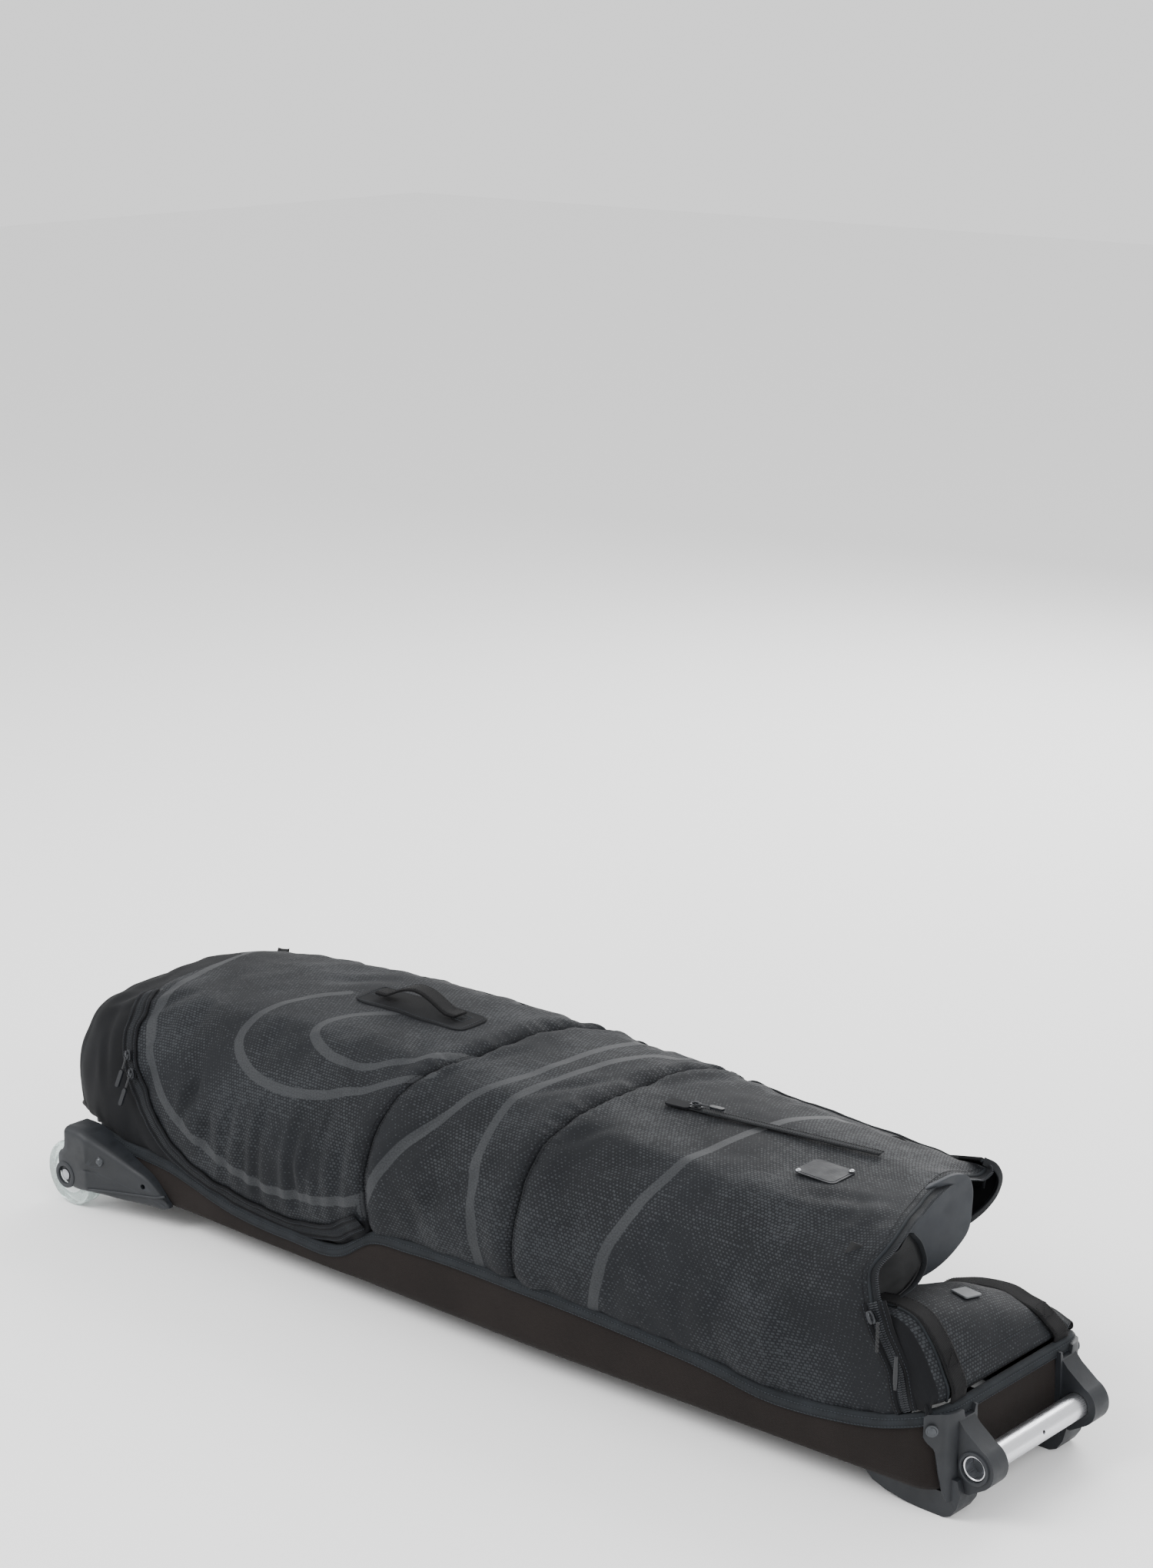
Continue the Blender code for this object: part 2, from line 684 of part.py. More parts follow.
# ---------------------------------------------------------------- zip sliders
def slider_and_pull(name, place, along, out, pull_way, pull_length, materials):
    """A slider on a chain and a pull that hangs from it, each with its own origin."""
    along, out = Vector(along).normalized(), Vector(out).normalized()
    across = out.cross(along)
    body = block_object(f"{name}_slider", place + out * 0.0018, along, across,
                        (0.012, 0.009, 0.0030), materials["slider"])
    move_origin(body, place)
    pivot = place + out * 0.0052
    way = Vector(pull_way).normalized()
    pull = block_object(f"{name}_pull", pivot + way * pull_length / 2, way, way.cross(out),
                        (pull_length, 0.0060, 0.0024), materials["slider"])
    move_origin(pull, pivot)


def make_sliders(materials):
    start, end = top_zip_ends()
    along = (end - start).normalized()
    up = Vector((0, 0, 1))
    slider_and_pull("top", start + along * 0.010 + up * 0.0014, along, up, along, 0.034, materials)
    upper = lid_surface(-0.566, 2.80)
    lower = lid_surface(-0.526, 1.45)
    chain = (lower - upper).normalized()
    out = lid_normal(-0.546, 2.05)
    down = (Vector((0, 0, -1)) - out * out.dot(Vector((0, 0, -1)))).normalized()
    for name, share in (("pocket_upper", 0.32), ("pocket_lower", 0.66)):
        place = upper.lerp(lower, share) + out * 0.0105
        slider_and_pull(name, place, chain, out, down, 0.040, materials)
    first = lid_points(LID_SECTIONS[0][0])
    low = Vector((LID_SECTIONS[0][0] - GAP * 2, first[0][0], first[0][1]))
    high = Vector((LID_SECTIONS[0][0] - GAP * 2, first[-1][0], first[-1][1]))
    place = low.lerp(high, 0.05) - up * 0.002
    slider_and_pull("rear", place, high - low, (-1, 0, 0), (0, 0, -1), 0.045, materials)


# ---------------------------------------------------------------- wheels
def make_wheel(side, sign, materials):
    centre = Vector((AXLE_X, sign * WHEEL_Y, WHEEL_RADIUS))
    half = WHEEL_WIDTH / 2
    tyre = [
        (0.0262, -half), (0.0330, -half), (0.0385, -half * 0.86), (0.0412, -half * 0.50),
        (WHEEL_RADIUS, 0.0), (0.0412, half * 0.50), (0.0385, half * 0.86), (0.0330, half),
        (0.0262, half),
    ]
    hub = [(BEARING_RADIUS + 0.0001, -0.0110), (0.0259, -0.0110), (0.0259, 0.0110),
           (BEARING_RADIUS + 0.0001, 0.0110)]
    parts = [
        turned_object(f"tyre_{side}", tyre, centre, WHEEL_SIDES, materials["urethane"]),
        turned_object(f"hub_{side}", hub, centre, WHEEL_SIDES, materials["hub"]),
    ]
    for label, offset in (("outer", 0.0070), ("inner", -0.0070)):
        low, high = sign * offset - BEARING_WIDTH / 2, sign * offset + BEARING_WIDTH / 2
        race = [(BORE_RADIUS, low), (BEARING_RADIUS, low), (BEARING_RADIUS, high), (BORE_RADIUS, high)]
        name = f"bearing_{side}_{label}"
        parts.append(turned_object(name, race, centre, WHEEL_SIDES, materials["steel"]))
    spacer = [(BORE_RADIUS, -0.0032), (0.0060, -0.0032), (0.0060, 0.0032), (BORE_RADIUS, 0.0032)]
    parts.append(turned_object(f"spacer_{side}", spacer, centre, WHEEL_SIDES, materials["steel"]))
    for item in parts:
        move_origin(item, centre)


HOUSING_OUTLINE = [
    (-0.640, 0.106), (-0.612, 0.106), (-0.602, 0.103), (-0.560, 0.084), (-0.512, 0.062),
    (-0.498, 0.050), (-0.476, 0.030), (-0.545, 0.026), (-0.600, 0.027), (-0.628, 0.026),
    (-0.643, 0.031), (-0.653, 0.042), (-0.657, 0.056), (-0.655, 0.070), (-0.645, 0.076),
    (-0.643, 0.092),
]
HOUSING_TAPER = [(-0.600, HOUSING_OUT), (-0.476, 0.1575)]


def make_housing(side, sign, materials):
    """The moulded fender: a fairing on the tub's corner with a slot for the wheel."""
    mesh_data = bmesh.new()
    inner = [(x, sign * HOUSING_IN, z) for x, z in HOUSING_OUTLINE]
    outer = [(x, sign * between(HOUSING_TAPER, x), z) for x, z in HOUSING_OUTLINE]
    add_loft(mesh_data, [inner, outer])
    housing = add_object(f"wheel_housing_{side}", mesh_data, materials["moulded"])
    cut = bmesh.new()
    circle = arc((AXLE_X, WHEEL_RADIUS), POCKET_RADIUS, 0, 337.5, 15)
    add_prism(cut, circle, sign * POCKET_IN, sign * POCKET_OUT)
    use_boolean(housing, add_object(f"cut_pocket_{side}", cut, materials["moulded"]), "DIFFERENCE")
    for label, x, z, radius, low, high in (
        ("axle", AXLE_X, WHEEL_RADIUS, AXLE_RADIUS + GAP, 0.150, 0.195),
        ("recess", AXLE_X, WHEEL_RADIUS, 0.0075, 0.1880, 0.195),
        ("open_hole", -0.5175, 0.052, 0.0035, 0.150, 0.195),
    ):
        cut = bmesh.new()
        add_rod(cut, (x, sign * low, z), (x, sign * high, z), radius, 16)
        use_boolean(housing, add_object(f"cut_{label}_{side}", cut, materials["moulded"]), "DIFFERENCE")
    mesh_data = bmesh.new()
    spin = 24
    add_rod(mesh_data, (AXLE_X, sign * 0.1530, WHEEL_RADIUS), (AXLE_X, sign * 0.1900, WHEEL_RADIUS),
            AXLE_RADIUS, spin)
    bolt = add_object(f"axle_{side}", mesh_data, materials["steel"], smooth=True)
    head = bmesh.new()
    add_rod(head, (AXLE_X, sign * 0.1884, WHEEL_RADIUS), (AXLE_X, sign * 0.1905, WHEEL_RADIUS), 0.0068, spin)
    use_boolean(bolt, add_object(f"cut_head_{side}", head, materials["steel"]), "UNION")


def make_housing_rivets(materials):
    for side, sign in SIDES:
        x, z = -0.5815, 0.073
        y = between(HOUSING_TAPER, x)
        start, end = (x, sign * (y + 0.0018), z), (x, sign * (y + 0.0030), z)
        rod_object(f"housing_rivet_{side}", start, end, 0.0045, materials["steel"])


# ---------------------------------------------------------------- front brackets
def make_bracket(side, sign, materials):
    """The moulded corner: a wall round the tub's corner, a skid below it and an ear for the tube."""
    centre = (TUB_FRONT - CORNER_RADIUS, -TUB_NOSE_HALF_WIDTH + CORNER_RADIUS)
    inner = arc(centre, CORNER_RADIUS + BRACKET_OFFSET, -78, 0, 5)
    outer = arc(centre, CORNER_RADIUS + BRACKET_OFFSET + BRACKET_THICK, -78, 0, 5)
    inner.append((inner[-1][0], -BRACKET_INNER_Y))
    outer.append((outer[-1][0], -BRACKET_INNER_Y))
    plan = inner + outer[::-1]
    mesh_data = bmesh.new()
    add_loft(mesh_data, [[(x, -sign * y, z) for x, y in plan] for z in (0.0290, BRACKET_TOP)])
    bracket = add_object(f"bracket_{side}", mesh_data, materials["moulded"])

    skid = bmesh.new()
    outline = [
        (0.545, 0.0272), (0.552, 0.0150), (0.575, 0.0055), (0.605, 0.0012), (0.618, 0.0),
        (0.646, 0.0), (0.660, 0.0120), (0.666, 0.0300), (0.662, 0.0450), (0.6525, 0.0450), (0.6525, 0.0272),
    ]
    add_prism(skid, outline, sign * 0.0790, sign * 0.1150)
    use_boolean(bracket, add_object(f"add_skid_{side}", skid, materials["moulded"]), "UNION")

    ear = bmesh.new()
    outline = [(0.6540, 0.0330)]
    outline += arc((TUBE_X, TUBE_Z), EAR_RADIUS, -105, 75, 14)
    outline += [(0.6540, 0.1000)]
    add_prism(ear, outline, sign * EAR_IN, sign * EAR_OUT)
    use_boolean(bracket, add_object(f"add_ear_{side}", ear, materials["moulded"]), "UNION")

    bore = bmesh.new()
    add_rod(bore, (TUBE_X, sign * 0.05, TUBE_Z), (TUBE_X, sign * 0.15, TUBE_Z), TUBE_RADIUS + GAP, TUBE_SIDES)
    use_boolean(bracket, add_object(f"cut_bore_{side}", bore, materials["moulded"]), "DIFFERENCE")


def make_tube(materials):
    end = EAR_OUT - GAP
    profile = [(TUBE_BORE, -end), (TUBE_RADIUS, -end), (TUBE_RADIUS, end), (TUBE_BORE, end)]
    tube = turned_object("grab_tube", profile, (TUBE_X, 0.0, TUBE_Z), TUBE_SIDES, materials["aluminium"])
    cut = bmesh.new()
    add_rod(cut, (TUBE_X, 0.0, TUBE_Z), (TUBE_X + 0.020, 0.0, TUBE_Z + 0.020), 0.0035)
    use_boolean(tube, add_object("cut_tube_hole", cut, materials["aluminium"]), "DIFFERENCE")


def make_bracket_rivets(materials):
    outside = CORNER_RADIUS + BRACKET_OFFSET + BRACKET_THICK
    angle = math.radians(-52)
    way = Vector((math.cos(angle), math.sin(angle), 0))
    for side, sign in SIDES:
        centre = Vector((TUB_FRONT - CORNER_RADIUS, -TUB_NOSE_HALF_WIDTH + CORNER_RADIUS, 0.1000))
        low, high = centre + way * (outside + 0.0004), centre + way * (outside + 0.0018)
        low.y, high.y = -sign * low.y, -sign * high.y
        rod_object(f"bracket_rivet_{side}", low, high, 0.0045, materials["steel"])


def make_materials():
    return {
        "tub_fabric": make_material("tub_fabric", (0.022, 0.018, 0.017), 0.85),
        "binding": make_material("binding", (0.045, 0.050, 0.056), 0.75),
        "board": make_material("board", (0.050, 0.052, 0.056), 0.60),
        "aluminium": make_material("aluminium", (0.62, 0.63, 0.65), 0.32, 1.0),
        "plain_fabric": make_material("plain_fabric", (0.018, 0.019, 0.022), 0.80),
        "print_fabric": make_material("print_fabric", (0.030, 0.033, 0.038), 0.70),
        "zip": make_material("zip", (0.030, 0.033, 0.037), 0.60),
        "webbing": make_material("webbing", (0.012, 0.012, 0.014), 0.80),
        "rubber": make_material("rubber", (0.035, 0.037, 0.040), 0.55),
        "tag_rubber": make_material("tag_rubber", (0.10, 0.10, 0.10), 0.60),
        "steel": make_material("steel", (0.35, 0.36, 0.38), 0.35, 1.0),
        "slider": make_material("slider", (0.020, 0.020, 0.022), 0.40, 0.6),
        "cord": make_material("cord", (0.05, 0.05, 0.05), 0.80),
        "gloss_plastic": make_material("gloss_plastic", (0.015, 0.016, 0.018), 0.20),
        "urethane": make_material("urethane", (0.55, 0.62, 0.60), 0.15),
        "hub": make_material("hub", (0.60, 0.62, 0.62), 0.30),
        "moulded": make_material("moulded", (0.040, 0.042, 0.046), 0.55),
    }


def main():
    clear_scene()
    materials = make_materials()
    make_tub(materials)
    make_floor(materials)
    make_lid(materials)
    make_lid_trim(materials)
    make_handle(materials)
    make_far_panel(materials)
    make_rear_gusset(materials)
    make_front_gusset(materials)
    make_mouth(materials)
    make_front_zip(materials)
    make_sliders(materials)
    for side, sign in SIDES:
        make_wheel(side, sign, materials)
        make_housing(side, sign, materials)
        make_bracket(side, sign, materials)
    make_housing_rivets(materials)
    make_tube(materials)
    make_bracket_rivets(materials)


main()
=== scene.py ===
import math

import bmesh
import bpy
import numpy as np
from mathutils import Matrix, Vector, noise


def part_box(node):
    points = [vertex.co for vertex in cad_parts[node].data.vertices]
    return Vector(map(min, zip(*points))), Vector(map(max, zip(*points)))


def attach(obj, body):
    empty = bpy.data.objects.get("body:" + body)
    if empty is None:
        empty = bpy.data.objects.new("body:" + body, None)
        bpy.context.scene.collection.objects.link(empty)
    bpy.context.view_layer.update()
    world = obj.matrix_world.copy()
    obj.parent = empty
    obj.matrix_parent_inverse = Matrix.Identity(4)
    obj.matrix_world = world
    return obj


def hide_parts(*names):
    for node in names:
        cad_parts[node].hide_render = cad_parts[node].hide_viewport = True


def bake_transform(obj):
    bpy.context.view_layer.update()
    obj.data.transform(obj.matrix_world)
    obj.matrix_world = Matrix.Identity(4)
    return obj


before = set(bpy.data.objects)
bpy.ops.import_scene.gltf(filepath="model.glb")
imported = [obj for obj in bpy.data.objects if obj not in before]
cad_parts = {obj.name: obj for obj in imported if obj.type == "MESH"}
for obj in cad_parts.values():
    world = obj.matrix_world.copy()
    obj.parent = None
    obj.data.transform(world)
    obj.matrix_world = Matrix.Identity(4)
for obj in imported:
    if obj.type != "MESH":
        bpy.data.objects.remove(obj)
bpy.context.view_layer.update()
up = np.array((0.0, 0.0, 1.0))
farAway = 9.0  # metres, for cloth with no printed band
print("frame loaded")


# small tools
def linkObject(name, data):
    piece = bpy.data.objects.new(name, data)
    bpy.context.scene.collection.objects.link(piece)
    return piece


def makeMesh(name, points, faces, material=None, smooth=True):
    mesh = bpy.data.meshes.new(name)
    mesh.from_pydata([tuple(map(float, p)) for p in points], [], faces)
    mesh.update()
    if smooth:
        mesh.shade_smooth()
    if material:
        mesh.materials.append(material)
    return linkObject(name, mesh)


def finishBmesh(name, work, material, bevel=0.0, angle=40):
    bmesh.ops.remove_doubles(work, verts=work.verts, dist=1e-6)
    bmesh.ops.recalc_face_normals(work, faces=work.faces)
    mesh = bpy.data.meshes.new(name)
    work.to_mesh(mesh)
    work.free()
    mesh.materials.append(material)
    mesh.shade_smooth()
    mesh.set_sharp_from_angle(angle=math.radians(angle))
    piece = linkObject(name, mesh)
    if bevel:
        softenEdges(piece, bevel, 2, 30)
    return piece


def softenEdges(piece, width, segments, angle):
    # a small bevel on the edges sharper than the angle
    edge = piece.modifiers.new("bevel", "BEVEL")
    edge.width = width
    edge.segments = segments
    edge.limit_method = "ANGLE"
    edge.angle_limit = math.radians(angle)
    edge.harden_normals = True


def bridgeRings(work, first, second):
    # quads between two closed rings of corners
    count = len(first)
    for j in range(count):
        after = (j + 1) % count
        work.faces.new((first[j], first[after], second[after], second[j]))


def gridFaces(rows, columns, closedRows=False, closedColumns=False):
    faces = []
    for i in range(rows if closedRows else rows - 1):
        for j in range(columns if closedColumns else columns - 1):
            a, b = i * columns + j, i * columns + (j + 1) % columns
            below = (i + 1) % rows * columns
            faces.append((a, below + j, below + (j + 1) % columns, b))
    return faces


def tubeFaces(rows, columns):
    # a grid closed round its columns, with both ends capped
    ends = [tuple(range(columns)), tuple(range((rows - 1) * columns, rows * columns))[::-1]]
    return gridFaces(rows, columns, closedColumns=True) + ends


def setUv(piece, places):
    # one (u, v) in metres for each vertex
    layer = piece.data.uv_layers.new(name="cloth")
    corner = np.empty(len(piece.data.loops), dtype=np.int32)
    piece.data.loops.foreach_get("vertex_index", corner)
    layer.data.foreach_set("uv", np.asarray(places, dtype=np.float32)[corner].ravel())


def hermite(xs, ys, x):
    # a smooth curve through rows of values at uneven places
    xs, ys, x = np.asarray(xs, float), np.asarray(ys, float), np.asarray(x, float)
    slope = np.gradient(ys, xs, axis=0)
    i = np.clip(np.searchsorted(xs, x, side="right") - 1, 0, len(xs) - 2)
    wide = xs[i + 1] - xs[i]
    t = np.clip((x - xs[i]) / wide, 0, 1)
    if ys.ndim > 1:
        t, wide = t[..., None], wide[..., None]
    return ((2 * t**3 - 3 * t**2 + 1) * ys[i] + (t**3 - 2 * t**2 + t) * wide * slope[i]
            + (-2 * t**3 + 3 * t**2) * ys[i + 1] + (t**3 - t**2) * wide * slope[i + 1])


def smoothLine(points, count):
    # evenly spaced points on a smooth curve through a few points
    points = np.asarray(points, float)
    marks = runAlong(points)
    dense = hermite(marks, points, np.linspace(0, marks[-1], count * 8))
    run = runAlong(dense)
    even = np.linspace(0, run[-1], count)
    return np.stack([np.interp(even, run, dense[:, k]) for k in range(points.shape[1])], axis=1)


def unit(rows):
    return rows / np.maximum(np.linalg.norm(rows, axis=-1, keepdims=True), 1e-9)


def runAlong(points):
    # the length from the first point to each point
    return np.r_[0, np.cumsum(np.linalg.norm(np.diff(points, axis=0), axis=1))]


def acrossOf(points, outs):
    # the way across a line that lies on a surface
    return unit(np.cross(unit(np.gradient(points, axis=0)), outs))


def ribbon(name, points, outs, width, thick, material, crown=0.0, lift=0.0):
    # a flat strip that follows a line, closed all round, with its own place along and across
    points, outs = np.asarray(points, float), unit(np.asarray(outs, float))
    across = acrossOf(points, outs)
    half = width / 2
    shape = [(-1, 0), (-0.98, 1), (-0.5, 1 + crown), (0, 1 + 1.3 * crown), (0.5, 1 + crown), (0.98, 1), (1, 0)]
    ring = [points + across * (side * half) + outs * (lift + thick * high) for side, high in shape]
    grid = np.stack(ring, axis=1)
    piece = makeMesh(name, grid.reshape(-1, 3), tubeFaces(*grid.shape[:2]), material)
    run = runAlong(points)
    sides = np.array([side for side, high in shape]) * half
    places = np.stack(np.meshgrid(run, sides, indexing="ij"), axis=-1).reshape(-1, 2)
    faceOut(piece)
    setUv(piece, places)
    return piece


def layeredCloth(name, outer, inner, places, material):
    # two layers of cloth closed round their edges; both carry the same map
    rows, columns = outer.shape[:2]
    total = rows * columns
    faces = gridFaces(rows, columns)
    faces += [tuple(total + k for k in face)[::-1] for face in gridFaces(rows, columns)]
    rim = [i * columns for i in range(rows)] + [(rows - 1) * columns + j for j in range(1, columns)]
    rim += [i * columns + columns - 1 for i in range(rows - 2, -1, -1)]
    rim += list(range(columns - 2, 0, -1))
    for a, b in zip(rim, rim[1:] + rim[:1]):
        faces.append((a, b, total + b, total + a))
    piece = makeMesh(name, np.concatenate([outer.reshape(-1, 3), inner.reshape(-1, 3)]), faces, material)
    faceOut(piece)
    places = places.reshape(-1, 2)
    setUv(piece, np.concatenate([places, places]))
    return piece


def lineInner(piece, total):
    # the inner layer gets the lining
    piece.data.materials.append(mats["lining"])
    for polygon in piece.data.polygons:
        if min(polygon.vertices) >= total:
            polygon.material_index = 1


def setBands(piece, outer, inner):
    # how far each point is from a printed band, for the print material
    band = piece.data.attributes.new("bandDistance", "FLOAT", "POINT")
    band.data.foreach_set("value", np.concatenate([outer.ravel(), inner.ravel()]).astype(np.float32))


def faceOut(piece):
    work = bmesh.new()
    work.from_mesh(piece.data)
    bmesh.ops.recalc_face_normals(work, faces=work.faces)
    work.to_mesh(piece.data)
    work.free()


def tube(name, points, radius, material, sides=10, flat=1.0):
    # a round or flattened rod along a line, with closed ends
    points = np.asarray(points, float)
    along = unit(np.gradient(points, axis=0))
    first = np.cross(along, up if abs(along[0][2]) < 0.9 else (1.0, 0.0, 0.0))
    side = unit(first)
    other = np.cross(side, along)
    turn = np.arange(sides) * 2 * math.pi / sides
    radii = np.broadcast_to(np.asarray(radius, float), len(points))[:, None, None]
    grid = (points[:, None] + radii * (np.cos(turn)[None, :, None] * side[:, None]
                                      + flat * np.sin(turn)[None, :, None] * other[:, None]))
    piece = makeMesh(name, grid.reshape(-1, 3), tubeFaces(len(points), sides), material)
    faceOut(piece)
    run = runAlong(points)
    places = np.stack(np.meshgrid(run, turn * float(np.max(radius)), indexing="ij"), axis=-1)
    setUv(piece, places.reshape(-1, 2))
    return piece


def lathe(name, profile, centre, material, sides=72, axis=1, angle=35):
    # turns (radius, offset) points round a line along one axis
    other = [k for k in (0, 1, 2) if k != axis]
    grid = np.zeros((sides, len(profile), 3))
    for i in range(sides):
        turn = 2 * math.pi * i / sides
        for j, (radius, offset) in enumerate(profile):
            grid[i, j, axis] = offset
            grid[i, j, other[0]] = radius * math.cos(turn)
            grid[i, j, other[1]] = radius * math.sin(turn)
    grid += np.asarray(centre)
    work = bmesh.new()
    made = [work.verts.new(p) for p in grid.reshape(-1, 3)]
    closed = profile[0] != profile[-1] and profile[0][0] > 0 and profile[-1][0] > 0
    for face in gridFaces(sides, len(profile), True, closed):
        corners = [made[k] for k in face]
        work.faces.new(corners)
    return finishBmesh(name, work, material, angle=angle)


def slab(work, outline, low, high, axis=1):
    # an outline of two coordinates extruded along the third
    def place(a, b, c):
        return {0: (c, a, b), 1: (a, c, b), 2: (a, b, c)}[axis]
    rings = [[work.verts.new(place(a, b, c)) for a, b in outline] for c in (low, high)]
    bridgeRings(work, *rings)
    work.faces.new(rings[0][::-1])
    work.faces.new(rings[1])
    return work


def arcPoints(centre, radius, first, last, steps):
    turns = np.radians(np.linspace(first, last, steps + 1))
    return [(centre[0] + radius * math.cos(t), centre[1] + radius * math.sin(t)) for t in turns]


def combine(piece, other, operation):
    # joins or cuts with another object, which is then removed
    change = piece.modifiers.new("cut", "BOOLEAN")
    change.operation = operation
    change.solver = "EXACT"
    change.object = other
    bake(piece)
    bpy.data.objects.remove(other)


def bake(piece):
    # applies every modifier, so the piece is a plain mesh
    view = bpy.context.evaluated_depsgraph_get()
    mesh = bpy.data.meshes.new_from_object(piece.evaluated_get(view), depsgraph=view)
    piece.modifiers.clear()
    piece.data = mesh


def softNoise(grid, scale):
    # smooth waves over a grid of points, about -1 to 1
    return np.array([noise.noise(Vector(p) * scale) for p in grid.reshape(-1, 3)]).reshape(grid.shape[:2])


def boxOf(node):
    low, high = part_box(node)
    return np.array(low), np.array(high)


# the view and the light
cameraSettings = {"lens": 70.55, "sensor": 36.0, "place": (2.2295, -2.452, 1.528),
                  "aim": (0.0495, 0.0, 0.636)}
lightSettings = {
    "key": {"place": (-1.6, -2.6, 3.2), "size": 2.4, "power": 165, "aim": (0.0, 0.0, 0.1)},
    "side": {"place": (2.8, -0.4, 1.6), "size": 1.8, "power": 45, "aim": (0.3, 0.0, 0.1)},
    "back": {"place": (-0.6, 3.0, 2.2), "size": 2.6, "power": 120, "aim": (0.0, 0.0, 0.15)},
    "sky": 1.25,
}


def makeView():
    lens = bpy.data.cameras.new("camera")
    lens.lens = cameraSettings["lens"]
    lens.sensor_width = cameraSettings["sensor"]
    camera = linkObject("camera", lens)
    spot, aim = Vector(cameraSettings["place"]), Vector(cameraSettings["aim"])
    camera.location = spot
    camera.rotation_euler = (aim - spot).to_track_quat("-Z", "Y").to_euler()
    bpy.context.scene.camera = camera
    for name in ("key", "side", "back"):
        made = bpy.data.lights.new(name, "AREA")
        made.energy = lightSettings[name]["power"]
        made.size = lightSettings[name]["size"]
        lamp = linkObject(name, made)
        lamp.location = lightSettings[name]["place"]
        way = Vector(lightSettings[name]["aim"]) - lamp.location
        lamp.rotation_euler = way.to_track_quat("-Z", "Y").to_euler()
    world = bpy.data.worlds.new("studio")
    world.use_nodes = True
    world.node_tree.nodes["Background"].inputs["Color"].default_value = (1.0, 1.0, 1.0, 1.0)
    world.node_tree.nodes["Background"].inputs["Strength"].default_value = lightSettings["sky"]
    bpy.context.scene.world = world
    wide = 12.0
    floor = makeMesh("floor", [(-wide, -wide, 0), (wide, -wide, 0), (wide, wide, 0), (-wide, wide, 0)],
                     [(0, 1, 2, 3)], plainMaterial("floorPaper", (0.93, 0.93, 0.93), 0.9))


# materials
def addNode(tree, kind, inputs=None, **settings):
    made = tree.nodes.new(kind)
    for key, value in settings.items():
        setattr(made, key, value)
    for key, value in (inputs or {}).items():
        if isinstance(value, bpy.types.NodeSocket):
            tree.links.new(value, made.inputs[key])
        else:
            made.inputs[key].default_value = value
    return made


def calc(tree, operation, a, b=0.0, c=0.0):
    return addNode(tree, "ShaderNodeMath", {0: a, 1: b, 2: c}, operation=operation).outputs[0]


def ease(tree, value, low, high, first=0.0, last=1.0):
    made = addNode(tree, "ShaderNodeMapRange", {"Value": value, "From Min": low, "From Max": high,
                                                "To Min": first, "To Max": last})
    return made.outputs["Result"]


def mixColour(tree, share, first, last):
    made = addNode(tree, "ShaderNodeMix", data_type="RGBA")
    for key, value in (("Factor", share), ("A", first), ("B", last)):
        wanted = "VALUE" if key == "Factor" else "RGBA"
        socket = next(s for s in made.inputs if s.name == key and s.type == wanted)
        if isinstance(value, bpy.types.NodeSocket):
            tree.links.new(value, socket)
        elif key == "Factor":
            socket.default_value = value
        else:
            socket.default_value = (*value, 1.0)
    return next(s for s in made.outputs if s.type == "RGBA")


def shade(colour, share):
    return tuple(share * c for c in colour)


def startMaterial(name, roughness=0.6, metallic=0.0, sheen=0.0, specular=0.5):
    material = bpy.data.materials.new(name)
    material.use_nodes = True
    tree = material.node_tree
    shader = tree.nodes["Principled BSDF"]
    shader.inputs["Roughness"].default_value = roughness
    shader.inputs["Metallic"].default_value = metallic
    shader.inputs["Sheen Weight"].default_value = sheen
    shader.inputs["Specular IOR Level"].default_value = specular
    return material, tree, shader


def plainMaterial(name, colour, roughness):
    material, tree, shader = startMaterial(name, roughness)
    grain = addNode(tree, "ShaderNodeTexNoise", {"Scale": 3.0, "Detail": 2.0})
    tone = mixColour(tree, ease(tree, grain.outputs[0], 0.3, 0.7, 0.0, 0.05), colour, shade(colour, 0.9))
    tree.links.new(tone, shader.inputs["Base Color"])
    return material


def objectPlace(tree):
    return addNode(tree, "ShaderNodeTexCoord").outputs["Object"]


def clothPlace(tree):
    return addNode(tree, "ShaderNodeUVMap", uv_map="cloth").outputs["UV"]


def noiseAt(tree, place, scale, detail=2.0, rough=0.5):
    values = {"Vector": place, "Scale": scale, "Detail": detail, "Roughness": rough}
    return addNode(tree, "ShaderNodeTexNoise", values).outputs[0]


def bumpFrom(tree, shader, height, strength, distance, previous=None):
    made = addNode(tree, "ShaderNodeBump", {"Height": height, "Strength": strength, "Distance": distance})
    if previous:
        tree.links.new(previous, made.inputs["Normal"])
    tree.links.new(made.outputs["Normal"], shader.inputs["Normal"])
    return made.outputs["Normal"]


def weaveHeight(tree, place, pitch, twill=0.0):
    # threads over and under one another; twill leans the rows
    parts = addNode(tree, "ShaderNodeSeparateXYZ", {0: place})
    turn = 2 * math.pi / pitch
    u = calc(tree, "MULTIPLY", parts.outputs[0], turn)
    v = calc(tree, "MULTIPLY", parts.outputs[1], turn)
    if twill:
        v = calc(tree, "ADD", v, calc(tree, "MULTIPLY", u, twill))
    return calc(tree, "MULTIPLY", calc(tree, "SINE", u), calc(tree, "SINE", v))


